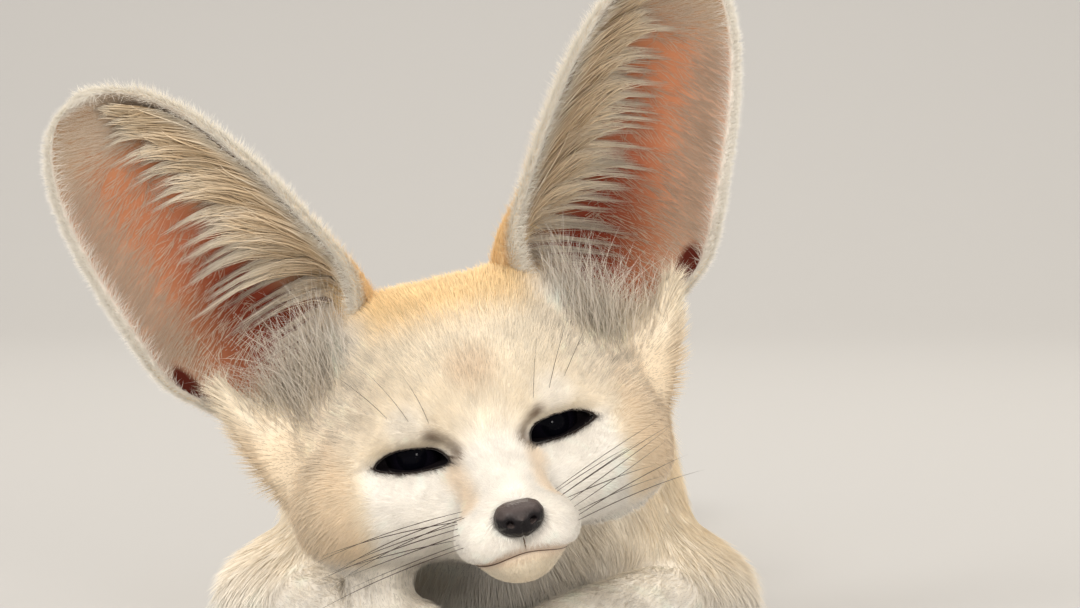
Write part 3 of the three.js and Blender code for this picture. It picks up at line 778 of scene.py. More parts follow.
def head_lie(places):
    x, y, z = places.T
    flow = unit(places - NOSE_WHORL)
    cheek = ramp(np.abs(x), 20, 34) * ramp(-z, -6, 8)
    flow += cheek[:, None] * np.array([0, 0.25, -0.55])
    crown = ramp(z, 24, 36) * ramp(y, 0, 20)
    flow += crown[:, None] * np.array([0, 0.9, -0.3])
    throat = ramp(-z, 20, 30) * ramp(y, -30, -5)
    flow += throat[:, None] * np.array([0, 0.8, -0.2])
    by_ear = np.maximum(near_to(places, EAR_FRONT, 6, 20), near_to(places, EAR_BEHIND, 8, 20))
    by_ear = by_ear[:, None]
    to_tip = np.stack([0.45 * np.sign(x), 0 * x - 0.1, 0 * x + 1.0], axis=1)
    return turned(unit(flow * (1 - by_ear) + to_tip * by_ear))


def towards(node, other, side):
    return np.array((middle_of(f"{other}_{side}") - middle_of(f"{node}_{side}")).normalized())


def part_lie(points, part):
    count = len(points)
    on_left = points[:, 0] > head_origin.x
    if part == "head":
        return head_lie(to_head(points))
    if part == "tail":
        near = np.abs(points[:, 1:2] - tail_line[:, 1]).argmin(axis=1)
        return unit(np.gradient(tail_line, axis=0))[near]
    if part in PAW_OF:
        left, right = (towards(part, PAW_OF[part], side) for side in SIDES)
        return np.where(on_left[:, None], left, right)
    return np.tile(unit(np.array([PLAIN_LIE[part]])), (count, 1))


# %% Mix the directions and lay them flat
LIE_ROUNDS = 4


def laid_flat(vectors, normals):
    return unit(vectors - normals * (vectors * normals).sum(axis=1, keepdims=True))


skin_normals = normals_of(skin_mesh)
lie = np.zeros_like(skin_points)
for column, part in enumerate(PARTS):
    lie += shares[:, column : column + 1] * part_lie(skin_points, part)
for _ in range(LIE_ROUNDS):
    lie = even_out(skin_edges, laid_flat(lie, skin_normals), 3)
lie = laid_flat(lie, skin_normals)
print("the coat's mean lie is", lie.mean(axis=0).round(2))

# %% [markdown]
# ## Markings
# The fennec is a pale animal: sand on the back and crown, white on the face and belly, with a few
# marks that make the face, such as the tan streak from the eye to the muzzle and the dark corner
# of the eye. Each mark is a soft mask at a named place, and the colours are mixed over one another
# in order, as washes of paint are. The skin and the coat take their colour from the same function.

# %% The paints
WHITE = (0.93, 0.88, 0.80)
CREAM = (0.90, 0.79, 0.62)
YELLOW = (0.90, 0.66, 0.35)
SAND = (0.88, 0.72, 0.52)
GREY = (0.70, 0.61, 0.51)
TAN = (0.68, 0.44, 0.25)
RUST = (0.90, 0.66, 0.40)
DUSK = (0.12, 0.085, 0.06)
BROW = (0.15, 0.085, 0.045)
UMBER = (0.045, 0.028, 0.02)
PITCH = (0.006, 0.004, 0.005)
# cream of the lower lip and the skin under the nose, made darker in part as painted shade
CHIN = (0.87, 0.76, 0.58)


def wash(colours, colour, mask):
    mask = np.asarray(mask)[:, None]
    return colours * (1 - mask) + np.array(colour) * mask


def distance_to_bar(places, start, end):
    """Distance to a straight bar between two places, on both sides of the head."""
    start, end = np.array(start), np.array(end)
    places = mirrored(places)
    t = ((places - start) @ (end - start)) / ((end - start) @ (end - start))
    return np.linalg.norm(places - start - np.clip(t, 0, 1)[:, None] * (end - start), axis=1)


# %% The markings of the head
FACE_SPOTS = (  # paint, strength, place, and how far in mm the spot is full and where it ends
    (TAN, 0.32, (0, -8, 20), 2, 9),
    (GREY, 0.35, (33, 11, 15), 6, 22),
    (WHITE, 0.8, (23, 23, 24), 4, 12),
    (WHITE, 0.6, (19, -9, 9), 3, 9),
)
STREAK = ((11, -15, -1), (9.5, -31, -8))
EYE_CORNER = ((13.0, -9.8, 5.0), (9.0, -14, 1.5))


def head_colours(places):
    """The places' colours, where x is counted outwards on both sides."""
    x, y, z = np.abs(places[:, 0]), places[:, 1], places[:, 2]
    colours = np.tile(np.array(CREAM), (len(places), 1))
    colours = wash(colours, YELLOW, ramp(z, 24, 34) * ramp(y, -6, 14))
    colours = wash(colours, SAND, ramp(x, 31, 36) * ramp(-z, -16, -4) * ramp(y, -14, -4))
    for paint, strength, place, full, none in FACE_SPOTS:
        colours = wash(colours, paint, strength * near_to(places, place, full, none))
    face = ramp(-x, -33, -29) * ramp(-z, -5, 1) * ramp(-y, -12, -2)
    muzzle = ramp(-y, 10, 18)
    colours = wash(colours, WHITE, np.maximum(face, muzzle))
    streak = ramp(-distance_to_bar(places, *STREAK), -5.5, -1.0)
    colours = wash(colours, RUST, 0.48 * streak)
    corner = ramp(-distance_to_bar(places, *EYE_CORNER), -4.3, -1.0)
    colours = wash(colours, BROW, 0.9 * corner)
    # under the nose and on the lower lip the cream is darker: partly their colour, partly painted
    # shade on the muzzle's underside
    under_nose = 0.6 * ramp(-z, 18.5, 23) * ramp(-y, 30, 37) * ramp(-x, -8, -3)
    colours = wash(colours, CHIN, under_nose)
    lip = -MOUTH_HEIGHT + MOUTH_DROOP * np.minimum(1, (x / MOUTH_HALF) ** DROOP_POWER)
    lower_lip = 0.75 * ramp(-z - lip, -0.3, 1.4) * ramp(-y, 12, 20) * ramp(-x, -17, -12)
    colours = wash(colours, CHIN, lower_lip)
    # painted shade: the chin turns tan towards its underside, away from the light
    colours = wash(colours, TAN, 0.3 * ramp(-z, 25, 31) * ramp(-y, 12, 20))
    # painted shade: a soft tan band along the crease of the mouth
    colours = wash(colours, TAN, 0.55 * ramp(-distance_to_line(places, mouth_line), -2.8, -0.4))
    # dark lip skin with painted shade, just below each corner of the mouth
    mouth_corner = abs(mouth_line[-1]) * (1, -1, -1) - (0, 0, 2)
    colours = wash(colours, DUSK, 0.6 * near_to(places, mouth_corner, 1, 4))
    return wash(colours, WHITE, ramp(-z, 18, 27) * ramp(y, -16, -4))


# %% The markings of the body and the tail
def body_colours(points):
    height = points[:, 2] / MM
    colours = np.tile(np.array(CREAM), (len(points), 1))
    colours = wash(colours, YELLOW, 0.55 * ramp(height, 40, 80))
    return wash(colours, WHITE, ramp(-height, -34, -10))


def tail_colours(points):
    t = (points[:, 1] - tail_start) / (tail_end - tail_start)
    near = np.abs(points[:, 1:2] - tail_line[:, 1]).argmin(axis=1)
    above = (points[:, 2] - tail_line[near, 2]) / (tail_reach[near] * TAIL_BONE)
    colours = np.tile(np.array(CREAM), (len(points), 1))
    colours = wash(colours, SAND, 0.8 * ramp(above, -0.6, 0.6))
    dark_patch = 0.75 * ramp(above, 0.1, 0.9) * ramp(t, 0.03, 0.1) * ramp(-t, -0.26, -0.16)
    colours = wash(colours, DUSK, dark_patch)
    return wash(colours, UMBER, ramp(t, 0.68, 0.78))


def coat_colours(points, shares):
    """Every part's colours, mixed by the shares."""
    by_part = {"head": head_colours(to_head(points)), "tail": tail_colours(points)}
    for paw in ("forepaw", "hind_paw", "forearm", "neck"):
        by_part[paw] = wash(body_colours(points), WHITE, np.full(len(points), 0.4))
    colours = np.zeros((len(points), 3))
    for column, part in enumerate(PARTS):
        here = by_part.get(part, body_colours(points))
        colours += shares[:, column : column + 1] * here
    return colours / shares.sum(axis=1, keepdims=True)


# %% Paint the skin
MOTTLE = 0.035  # how much the colour wanders over the whole coat
TEMPLE, GRIZZLE = (34, 14, 16), 0.2  # between eye and ear light and dark hairs are mixed


def with_alpha(colours):
    return np.hstack([colours, np.ones((len(colours), 1))])


colours = coat_colours(skin_points, shares)
random = np.random.default_rng(3)
mottle = even_out(skin_edges, random.normal(0, 1, len(colours)), 10)
colours *= (1 + MOTTLE * mottle / mottle.std())[:, None]
temple = near_to(to_head(skin_points), TEMPLE, 8, 24)
streaks = even_out(skin_edges, random.normal(0, 1, len(colours)), 1)
colours *= (1 + GRIZZLE * temple * np.clip(streaks / streaks.std(), -2, 1))[:, None]
colours = np.clip(colours, 0.01, 0.95)
print("the coat's mean colour is", colours.mean(axis=0).round(2))

# %% [markdown]
# ## An unwrap of the skin
# When the model is exported, its colours are painted into a square picture. Each tuft then needs
# its own small patch of that picture, at the place where it grows. Blender's smart projection
# cuts the skin into nearly flat pieces and lays them side by side in the square.

# %% Unwrap the skin and store its fields
store(skin_mesh, "lie", lie, "FLOAT_VECTOR")
store(skin_mesh, "coat_length", lengths * MM)
store(skin_mesh, "coat_colour", with_alpha(colours), "FLOAT_COLOR")
bpy.context.view_layer.objects.active = skin
skin.select_set(True)
bpy.ops.object.mode_set(mode="EDIT")
bpy.ops.mesh.select_all(action="SELECT")
bpy.ops.uv.smart_project(angle_limit=math.radians(72), island_margin=0.002)
bpy.ops.object.mode_set(mode="OBJECT")
skin_mesh = skin.data
skin_mesh.uv_layers.active.name = "unwrap"
skin_mesh.shade_smooth()
print("unwrapped", len(skin_mesh.polygons), "faces")

# %% [markdown]
# ## Hair as geometry
# One real fox has more hairs than a computer can hold, so each blade here stands for a small tuft:
# a three-sided cone, flattened, of three triangles, or of nine where it has to bend. A Geometry
# Nodes tree scatters them on the skin as thickly as an attribute says, leans each along the lie,
# scales it to the coat length, and draws its tip towards the nearest of a sparser set of points.
# That last step is what makes locks: neighbours share a point, so their tips meet.

# %% Helpers for node trees
def socket_of(sockets, key):
    """A socket by its name, or by its number among those that the node shows."""
    shown = [socket for socket in sockets if socket.enabled]
    return shown[key] if isinstance(key, int) else next(s for s in shown if s.name == key)


def wire(tree, kind, inputs=None, **settings):
    """Adds a node with its settings, and fills its inputs with values, sockets or nodes."""
    node = tree.nodes.new(kind)
    for key, value in settings.items():
        setattr(node, key, value)
    for key, value in (inputs or {}).items():
        socket = socket_of(node.inputs, key)
        if isinstance(value, bpy.types.Node):
            value = socket_of(value.outputs, 0)
        if isinstance(value, bpy.types.NodeSocket):
            tree.links.new(value, socket)
        else:
            socket.default_value = value
    return node


def field(tree, name, kind="FLOAT"):
    return wire(tree, "GeometryNodeInputNamedAttribute", {"Name": name}, data_type=kind)


def maths(tree, what, a, b=0.0):
    return wire(tree, "ShaderNodeMath", {0: a, 1: b}, operation=what)


def vectors(tree, what, a, b):
    return wire(tree, "ShaderNodeVectorMath", {0: a, 1: b}, operation=what)


def scaled(tree, vector, by):
    inputs = {"Vector": vector, "Scale": by}
    return wire(tree, "ShaderNodeVectorMath", inputs, operation="SCALE")


def kept(tree, geometry, name, value, kind="FLOAT", domain="POINT"):
    inputs = {"Geometry": geometry, "Name": name, "Value": value}
    return wire(
        tree, "GeometryNodeStoreNamedAttribute", inputs, data_type=kind, domain=domain
    )


def new_tree(name, *inputs):
    tree = bpy.data.node_groups.new(name, "GeometryNodeTree")
    tree.interface.new_socket("Geometry", in_out="INPUT", socket_type="NodeSocketGeometry")
    for label, kind in inputs:
        tree.interface.new_socket(label, in_out="INPUT", socket_type="NodeSocket" + kind)
    tree.interface.new_socket("Geometry", in_out="OUTPUT", socket_type="NodeSocketGeometry")
    return tree, tree.nodes.new("NodeGroupInput").outputs


# %% How every tree of hair ends
PATCH = 0.003  # each tuft's share of the baked picture's side


def bake_patch(tree, geometry, root, across, along):
    """Stores the export's map: a small square for each tuft, at its root's place."""
    inputs = {"X": across, "Y": maths(tree, "SUBTRACT", along, 0.5)}
    patch = wire(tree, "ShaderNodeCombineXYZ", inputs)
    place = vectors(tree, "ADD", root, scaled(tree, patch, PATCH))
    return kept(tree, geometry, "OFBake", place, "FLOAT2", "CORNER")


def end_tree(tree, geometry, material, round_off=True):
    inputs = {"Geometry": geometry, "Shade Smooth": round_off}
    smooth = wire(tree, "GeometryNodeSetShadeSmooth", inputs)
    done = wire(tree, "GeometryNodeSetMaterial", {"Geometry": smooth, "Material": material})
    tree.links.new(done.outputs[0], tree.nodes.new("NodeGroupOutput").inputs[0])


# %% [markdown]
# ## The tree of tufts
# The tree has four steps: find the roots and where each tuft leans, shape one blade, set a copy
# of it on every root, and bend the copies. What a root knows is stored on its point before the
# copies are made, because afterwards each blade can only read what came with it.

# %% Roots, lean and length
LOCK_SEED, STRAY_SEED, SPAN_SEED, SHADE_SEED = 101, 5, 9, 12
SPAN_LEAST, SPAN_MOST = 0.7, 1.12  # shares of the coat length
coat_tree, given = new_tree(
    "grow_tufts",
    ("Seed", "Int"), ("Rings", "Int"), ("Lift", "Float"), ("Stray", "Float"),
    ("Locks", "Float"), ("Pull", "Float"), ("Droop", "Float"), ("Frizz", "Float"),
    ("Round", "Bool"), ("Material", "Material"),
)
t = coat_tree
grow_field = field(t, "grow")
roots = wire(
    t, "GeometryNodeDistributePointsOnFaces",
    {"Mesh": given["Geometry"], "Density": grow_field, "Seed": given["Seed"]},
)
lock_density = maths(t, "MULTIPLY", grow_field, given["Locks"])
lock_seed = maths(t, "ADD", given["Seed"], LOCK_SEED)
lock_points = wire(
    t, "GeometryNodeDistributePointsOnFaces",
    {"Mesh": given["Geometry"], "Density": lock_density, "Seed": lock_seed},
)
here = wire(t, "GeometryNodeInputPosition")
nearest = wire(t, "GeometryNodeSampleNearest", {"Geometry": lock_points, "Sample Position": here})
lock_place = wire(
    t, "GeometryNodeSampleIndex",
    {"Geometry": lock_points, "Value": here, "Index": nearest}, data_type="FLOAT_VECTOR",
)
pull = scaled(t, vectors(t, "SUBTRACT", lock_place, here), given["Pull"])
scatter = wire(
    t, "FunctionNodeRandomValue", {"Min": (-1, -1, -1), "Max": (1, 1, 1), "Seed": STRAY_SEED},
    data_type="FLOAT_VECTOR",
)
out = roots.outputs["Normal"]
lean = vectors(t, "ADD", field(t, "lie", "FLOAT_VECTOR"), scaled(t, out, given["Lift"]))
lean = vectors(t, "ADD", lean, scaled(t, scatter, given["Stray"]))
lean = wire(t, "ShaderNodeVectorMath", {0: lean}, operation="NORMALIZE")
vary = wire(
    t, "FunctionNodeRandomValue", {"Min": SPAN_LEAST, "Max": SPAN_MOST, "Seed": SPAN_SEED}
)
span = maths(t, "MULTIPLY", field(t, "coat_length"), vary)
tint = wire(t, "FunctionNodeRandomValue", {"Min": 0.0, "Max": 1.0, "Seed": SHADE_SEED})
planted = kept(t, roots, "root_pull", pull, "FLOAT_VECTOR")
planted = kept(t, planted, "root_out", out, "FLOAT_VECTOR")
planted = kept(t, planted, "root_span", span)
planted = kept(t, planted, "shade", tint)

# %% One blade
FULLNESS, FULL_AT_ROOT = 1.6, 0.7  # the cone swells above its root before it narrows
PATCH_WIDTH = 0.45
blade = wire(
    t, "GeometryNodeMeshCone",
    {"Vertices": 3, "Side Segments": given["Rings"], "Radius Top": 0.0, "Radius Bottom": 1.0,
     "Depth": 1.0}, fill_type="NONE",
)
blade_place = wire(t, "ShaderNodeSeparateXYZ", {0: here})
fuller = wire(
    t, "ShaderNodeMath", {0: blade_place.outputs["Z"], 1: FULLNESS, 2: FULL_AT_ROOT},
    operation="MULTIPLY_ADD",
)
wider = wire(t, "ShaderNodeCombineXYZ", {"X": fuller, "Y": fuller, "Z": 1.0})
shaped = wire(
    t, "GeometryNodeSetPosition",
    {"Geometry": blade, "Position": vectors(t, "MULTIPLY", here, wider)},
)
shaped = kept(t, shaped, "along", blade_place.outputs["Z"])
shaped = kept(t, shaped, "across", maths(t, "MULTIPLY", blade_place.outputs["X"], PATCH_WIDTH))

# %% A blade on every root
half = maths(t, "MULTIPLY", field(t, "coat_width"), 0.5)
thin = maths(t, "MULTIPLY", half, 0.5)
turn = wire(
    t, "FunctionNodeAxesToRotation", {"Primary Axis": lean, "Secondary Axis": out},
    primary_axis="Z", secondary_axis="Y",
)
tufts = wire(
    t, "GeometryNodeInstanceOnPoints",
    {"Points": planted, "Instance": shaped, "Rotation": turn,
     "Scale": wire(t, "ShaderNodeCombineXYZ", {"X": half, "Y": thin, "Z": span})},
)
real = wire(t, "GeometryNodeRealizeInstances", {"Geometry": tufts})

# %% Sag, locks and frizz
LOCK_BEND = 1.5  # the power that keeps a tuft's foot in place while its tip is drawn away
FRIZZ_SCALE = 140.0
along = field(t, "along")
reach = maths(t, "MULTIPLY", along, field(t, "root_span"))
sag = scaled(t, field(t, "root_out", "FLOAT_VECTOR"), maths(
    t, "MULTIPLY", maths(t, "MULTIPLY", reach, along), maths(t, "MULTIPLY", given["Droop"], -1.0)
))
drawn = scaled(t, field(t, "root_pull", "FLOAT_VECTOR"), maths(t, "POWER", along, LOCK_BEND))
waver = wire(t, "ShaderNodeTexNoise", {"Vector": here, "Scale": FRIZZ_SCALE, "Detail": 1.0})
waver = vectors(t, "SUBTRACT", waver.outputs["Color"], (0.5, 0.5, 0.5))
waver = scaled(t, waver, maths(t, "MULTIPLY", reach, given["Frizz"]))
offset = vectors(t, "ADD", vectors(t, "ADD", sag, drawn), waver)
bent = wire(t, "GeometryNodeSetPosition", {"Geometry": real, "Offset": offset})
patched = bake_patch(t, bent, field(t, "unwrap", "FLOAT_VECTOR"), field(t, "across"), along)
end_tree(t, patched, given["Material"], given["Round"])
print(coat_tree.name, "has", len(coat_tree.nodes), "nodes")

# %% [markdown]
# ## Running a tree
# The tree runs once on a carrier, such as the skin, and its result is kept as a plain mesh. Then
# the modifier goes, and with it all fields that the finished piece has no use for. A tip that
# would reach into the floor is laid on it.

# %% Run a tree and keep its mesh
KEPT_FIELDS = (
    "position", "sharp_face", "material_index", "coat_colour", "along", "shade", "OFBake",
)
LOWEST = 0.1 * MM  # how near the floor a tip may come


def set_inputs(modifier, values):
    """Sets a tree's inputs by their sockets' identifiers."""
    for item in modifier.node_group.interface.items_tree:
        if item.in_out == "INPUT" and item.name in values:
            modifier[item.identifier] = values[item.name]


def run_tree(name, carrier_mesh, tree, values):
    """Runs a tree on a mesh and returns what it grew as a plain object."""
    grown = add_object(name, carrier_mesh)
    maker = grown.modifiers.new("maker", "NODES")
    maker.node_group = tree
    set_inputs(maker, values)
    seen = grown.evaluated_get(bpy.context.evaluated_depsgraph_get())
    mesh = bpy.data.meshes.new_from_object(seen)
    grown.modifiers.clear()
    grown.data = mesh
    mesh.name = name
    tips = points_of(mesh)
    tips[:, 2] = np.maximum(tips[:, 2], LOWEST)
    move_points(mesh, tips)
    for field_name in [layer.name for layer in mesh.attributes]:
        if field_name not in KEPT_FIELDS and not field_name.startswith("."):
            mesh.attributes.remove(mesh.attributes[field_name])
    return grown


# %% Grow a number of tufts
COAT_HABIT = {"Rings": 2, "Lift": 0.42, "Stray": 0.12, "Locks": 0.09, "Pull": 0.55,
              "Droop": 0.2, "Frizz": 0.25, "Round": False}


def total_over(mesh, values):
    """The sum of a field over the surface, in square metres."""
    area = np.empty(len(mesh.polygons), np.float32)
    start = np.empty(len(mesh.polygons), np.int32)
    mesh.polygons.foreach_get("area", area)
    mesh.polygons.foreach_get("loop_start", start)
    corner = corners_of(mesh)
    count = np.diff(np.append(start, len(corner)))
    return float((np.add.reduceat(values[corner], start) / count * area).sum())


def grow(name, carrier, mask, tufts, material, seed, **habit):
    """Grows a number of tufts where the mask lets them, closer where they are small."""
    mesh = carrier.data
    size, width = stored(mesh, "coat_length"), stored(mesh, "coat_width")
    wanted = mask / np.maximum(size * width, 1e-9)
    density = wanted * tufts / max(total_over(mesh, wanted), 1e-9)
    store(mesh, "grow", density)
    values = {**COAT_HABIT, **habit, "Material": material, "Seed": seed}
    coat = run_tree(name, mesh, coat_tree, values)
    cover = (density * size * width * 0.5)[mask > 0.5]
    print(f"{name}: {len(coat.data.polygons)} faces, cover {cover.sum() / max(len(cover), 1):.1f}")
    return coat


# %% [markdown]
# ## What hair looks like
# Each tuft is darker at its root, where light hardly reaches, and each differs a little from its
# neighbour. The colour itself comes from the same marking functions as the skin's.

# %% Materials of hair and skin
DULL = 0.1  # fur and the skin under it reflect little


def hair_material(name, root=0.88, tip=1.1, spread=0.14, roughness=0.8):
    """The colour is multiplied by root to tip along a hair, and varied by spread among them."""
    settings = {"Roughness": roughness, "Specular IOR Level": DULL, "Sheen Weight": 0.2}
    material, tree, shader = make_material(name, settings)
    colour = wire(tree, "ShaderNodeAttribute", attribute_name="coat_colour")
    place = wire(tree, "ShaderNodeAttribute", attribute_name="along")
    shade = wire(tree, "ShaderNodeAttribute", attribute_name="shade")
    depth = wire(tree, "ShaderNodeMapRange", {
        "Value": place.outputs["Fac"], "From Max": 0.8, "To Min": root, "To Max": tip})
    differ = wire(tree, "ShaderNodeMapRange", {
        "Value": shade.outputs["Fac"], "To Min": 1 - spread, "To Max": 1 + spread * 0.5})
    both = maths(tree, "MULTIPLY", depth, differ)
    final = scaled(tree, colour.outputs["Color"], both)
    tree.links.new(final.outputs[0], shader.inputs["Base Color"])
    return material


def skin_material(name, grain=900.0, strength=0.25, roughness=0.75):
    settings = {"Roughness": roughness, "Specular IOR Level": DULL}
    material, tree, shader = make_material(name, settings)
    colour = wire(tree, "ShaderNodeAttribute", attribute_name="coat_colour")
    place = wire(tree, "ShaderNodeTexCoord")
    noise = wire(tree, "ShaderNodeTexNoise", {
        "Vector": place.outputs["Object"], "Scale": grain, "Detail": 3.0})
    bump = wire(tree, "ShaderNodeBump", {
        "Height": noise.outputs["Fac"], "Strength": strength, "Distance": 0.001})
    tree.links.new(colour.outputs["Color"], shader.inputs["Base Color"])
    tree.links.new(bump.outputs["Normal"], shader.inputs["Normal"])
    return material


coat_hair = hair_material("coat_hair")
face_hair = hair_material("face_hair", root=0.9, tip=1.05, spread=0.09)
crown_hair = hair_material("crown_hair", root=0.84, tip=1.06, spread=0.26)
skin_mesh.materials.clear()
skin_mesh.materials.append(skin_material("skin_under_coat"))
print("materials:", sorted(material.name for material in bpy.data.materials))

# %% [markdown]
# ## The coat in pieces
# A fine tuft on the lip is a fifth of the width of one on the back. The coat is grown in pieces,
# each with its own habit, whose masks run into each other softly so that no border shows. The
# face gets the most tufts for its size, because that is where people look.

# %% How wide a tuft is
PART_WIDTH = {
    "head": 0.34, "neck": 0.42, "torso": 0.52, "upper_arm": 0.46, "forearm": 0.45,
    "forepaw": 0.4, "thigh": 0.5, "hind_foot": 0.45, "hind_paw": 0.4, "tail": 0.8,
}
skin_points = points_of(skin_mesh)
places = to_head(skin_points)
share_of = {part: shares[:, i] / shares.sum(axis=1) for i, part in enumerate(PARTS)}
widths = sum(share_of[part] * PART_WIDTH[part] for part in PARTS)
upper = ramp(places[:, 2], 14, 24)
chin_too = np.maximum(ramp(places[:, 2], -30, -20), ramp(-places[:, 1], 14, 24))
front = ramp(-places[:, 1], -12, 2) * (1 - upper) * chin_too
widths -= share_of["head"] * (0.1 * front + 0.04 * ramp(-places[:, 1], 12, 24))
store(skin_mesh, "coat_width", widths * MM)
print("tufts are", widths.min().round(2), "to", widths.max().round(2), "mm wide")


# %% How far from the eyes
FAR = 30.0  # stands for any distance that doesn't matter, in mm


def almond_depth(places):
    """How far outside the lids' edge a place is, in mm, or less than 0 within the slit."""
    u, v, ahead = eye_axes(places)
    u, v = u + LID_INWARD, v + LID_DROP
    edge = almond()
    away = np.full(len(places), np.inf)
    for k in range(len(edge)):
        a, b = edge[k], edge[(k + 1) % len(edge)]
        run = b - a
        share = np.clip(((u - a[0]) * run[0] + (v - a[1]) * run[1]) / (run @ run), 0, 1)
        away = np.minimum(away, np.hypot(u - a[0] - share * run[0], v - a[1] - share * run[1]))
    sides = np.zeros(len(places), bool)
    for k in range(len(edge)):
        a, b = edge[k], edge[(k + 1) % len(edge)]
        crosses = (a[1] > v) != (b[1] > v)
        at = a[0] + (v - a[1]) * (b[0] - a[0]) / (b[1] - a[1] + 1e-12)
        sides ^= crosses & (u < at)
    return np.where(ahead < -FRONT, FAR, np.where(sides, -away, away))


from_lids = almond_depth(places)
print("points within the lids:", int((from_lids < 0).sum()))

# %% Bare skin, its dark colour, and painted shade in the eye slits
NEAR_NOSE = -30  # only skin before this is measured against the nose
nose_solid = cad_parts["nose"].data
nose_surface = surface_of(points_of(nose_solid), nose_solid)
from_nose = np.full(len(places), FAR)
for row in np.flatnonzero(places[:, 1] < NEAR_NOSE):
    from_nose[row] = nose_surface.find_nearest(Vector(skin_points[row]))[3] / MM
from_crease = distance_to_line(places, np.vstack([mouth_line, groove_line]))
bare = np.maximum(ramp(-from_lids, -0.9, -0.4), ramp(-from_nose, -0.9, -0.4))
bare = np.maximum(bare, ramp(-from_crease, -1.0, -0.5))
hairy = 1 - bare
colours = wash(colours, UMBER, ramp(-from_lids, -0.9, -0.4))
# painted shade: the slit's walls within the lids are black, as the shadowed socket round the eyeball
colours = wash(colours, PITCH, ramp(-from_lids, -0.35, -0.05))
colours = wash(colours, UMBER, ramp(-distance_to_line(places, mouth_line), -0.9, -0.4))
colours = wash(colours, UMBER, 0.8 * ramp(-from_nose, -0.8, -0.2))
store(skin_mesh, "coat_colour", with_alpha(colours), "FLOAT_COLOR")
print("bare points:", int((bare > 0.5).sum()))

# %% Grow the coat of the head
head_share = share_of["head"] * hairy
cheeks = (1 - upper) * (1 - front)
on_left = ramp(places[:, 0], -6, 6)
muzzle = ramp(-places[:, 1], 12, 20)
sleek = {"Rings": 1, "Lift": 0.17, "Locks": 0.05, "Pull": 0.25, "Stray": 0.07, "Droop": 0.03}
soft = {"Rings": 1, "Lift": 0.2, "Locks": 0.05, "Pull": 0.35, "Stray": 0.08}
thick = {"Rings": 1, "Lift": 0.32, "Locks": 0.06}
side_cheeks = (head_share * cheeks * on_left, head_share * cheeks * (1 - on_left))
coats = [
    grow("coat_muzzle", skin, head_share * front * muzzle, 30000, face_hair, 10, **sleek),
    grow("coat_face", skin, head_share * front * (1 - muzzle), 38000, face_hair, 11, **sleek),
    grow("coat_crown", skin, head_share * upper, 24000, crown_hair, 12, **thick),
    grow("coat_cheek_left", skin, side_cheeks[0], 18000, crown_hair, 13, **soft),
    grow("coat_cheek_right", skin, side_cheeks[1], 18000, crown_hair, 14, **soft),
]

# %% Grow the coat of the body and legs
behind = ramp(skin_points[:, 1] / MM, -80, -40)
low = ramp(-skin_points[:, 2] / MM, -26, -10)
trunk = share_of["torso"] * hairy
legs_front = (share_of["forearm"] + share_of["forepaw"]) * hairy
legs_back = (share_of["hind_foot"] + share_of["hind_paw"]) * hairy
short = {"Rings": 1, "Lift": 0.2, "Locks": 0.05, "Pull": 0.3, "Stray": 0.08, "Droop": 0.05}
plain = {"Rings": 1, "Lift": 0.3, "Pull": 0.4}
coats += [
    grow("coat_neck", skin, share_of["neck"] * hairy, 15000, coat_hair, 21, **plain),
    grow("coat_shoulders", skin, trunk * (1 - behind) * (1 - low), 26000, coat_hair, 22, **plain),
    grow("coat_back", skin, trunk * behind * (1 - low), 31000, coat_hair, 23, **plain),
    grow("coat_belly", skin, trunk * low, 3000, coat_hair, 24),
    grow("coat_upper_arms", skin, share_of["upper_arm"], 16000, coat_hair, 25, **plain),
    grow("coat_forelegs", skin, legs_front, 24000, coat_hair, 26, **short),
    grow("coat_thighs", skin, share_of["thigh"], 17000, coat_hair, 27, **plain),
    grow("coat_hind_legs", skin, legs_back, 15000, coat_hair, 28, **short),
]

# %% Grow the tail's brush
tail_share = share_of["tail"]
along_tail = (skin_points[:, 1] - tail_start) / (tail_end - tail_start)
dark_end = ramp(along_tail, 0.66, 0.72)
brush = {"Lift": 0.62, "Droop": 0.22, "Locks": 0.05, "Pull": 0.65, "Stray": 0.12}
tail_coat = grow("coat_tail", skin, tail_share * (1 - dark_end), 10000, coat_hair, 31, **brush)
tail_tip_coat = grow("coat_tail_tip", skin, tail_share * dark_end, 4200, coat_hair, 32, **brush)

# %% Hand the skin and coat to the frame
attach(skin, "root")
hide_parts(*FLESH)
for coat in coats + [tail_coat]:
    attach(coat, "root")
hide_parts("tail")
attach(tail_tip_coat, "root")
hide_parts("tail_tip")

# %% [markdown]
# ## The ears
# A fennec's ear is a thin cup, nearly as long as the head. Its places are named by two shares: `s`
# runs from the root (0) to the tip (1), and `share` from the rim beside the crown (-1) across the
# cup to the outer rim (1). The same two shares place the skin's red groove and the lie of every
# hair, so the cup is one function, and all that grows on it is painted in its own terms. Low down
# the cup closes to a wide tube whose back is pressed flat towards the head. Higher up it opens.

# %% Shape of the ear
EAR_ROOT = np.array([35.0, 36.0, 12.0])
EAR_LENGTH, EAR_WIDTH = 97.0, 59.5
EAR_LEAN, EAR_OUTWARD = math.radians(24.5), math.radians(22)
EAR_START, EAR_STOP = -0.1, 0.997
EAR_THICK = 0.8
FOOT_ARC, ARC_OPENS, TIP_OPENS = 124, 64, 16  # degrees from the cup's middle line to its rim
FOOT_WIDTH, WIDENS = 0.55, 0.45  # shares of the full width: the foot's, and what comes above
FOOT_DEPTH, DEEPENS = 0.7, 0.3
ear_axis = np.array([math.sin(EAR_LEAN), -0.06, math.cos(EAR_LEAN)])
ear_axis /= np.linalg.norm(ear_axis)
ear_opening = np.array([math.sin(EAR_OUTWARD), -math.cos(EAR_OUTWARD), 0])
ear_opening -= ear_axis * (ear_opening @ ear_axis)
ear_opening /= np.linalg.norm(ear_opening)
ear_across = np.cross(ear_axis, ear_opening)
print("the ear points along", ear_axis.round(2), "and opens towards", ear_opening.round(2))


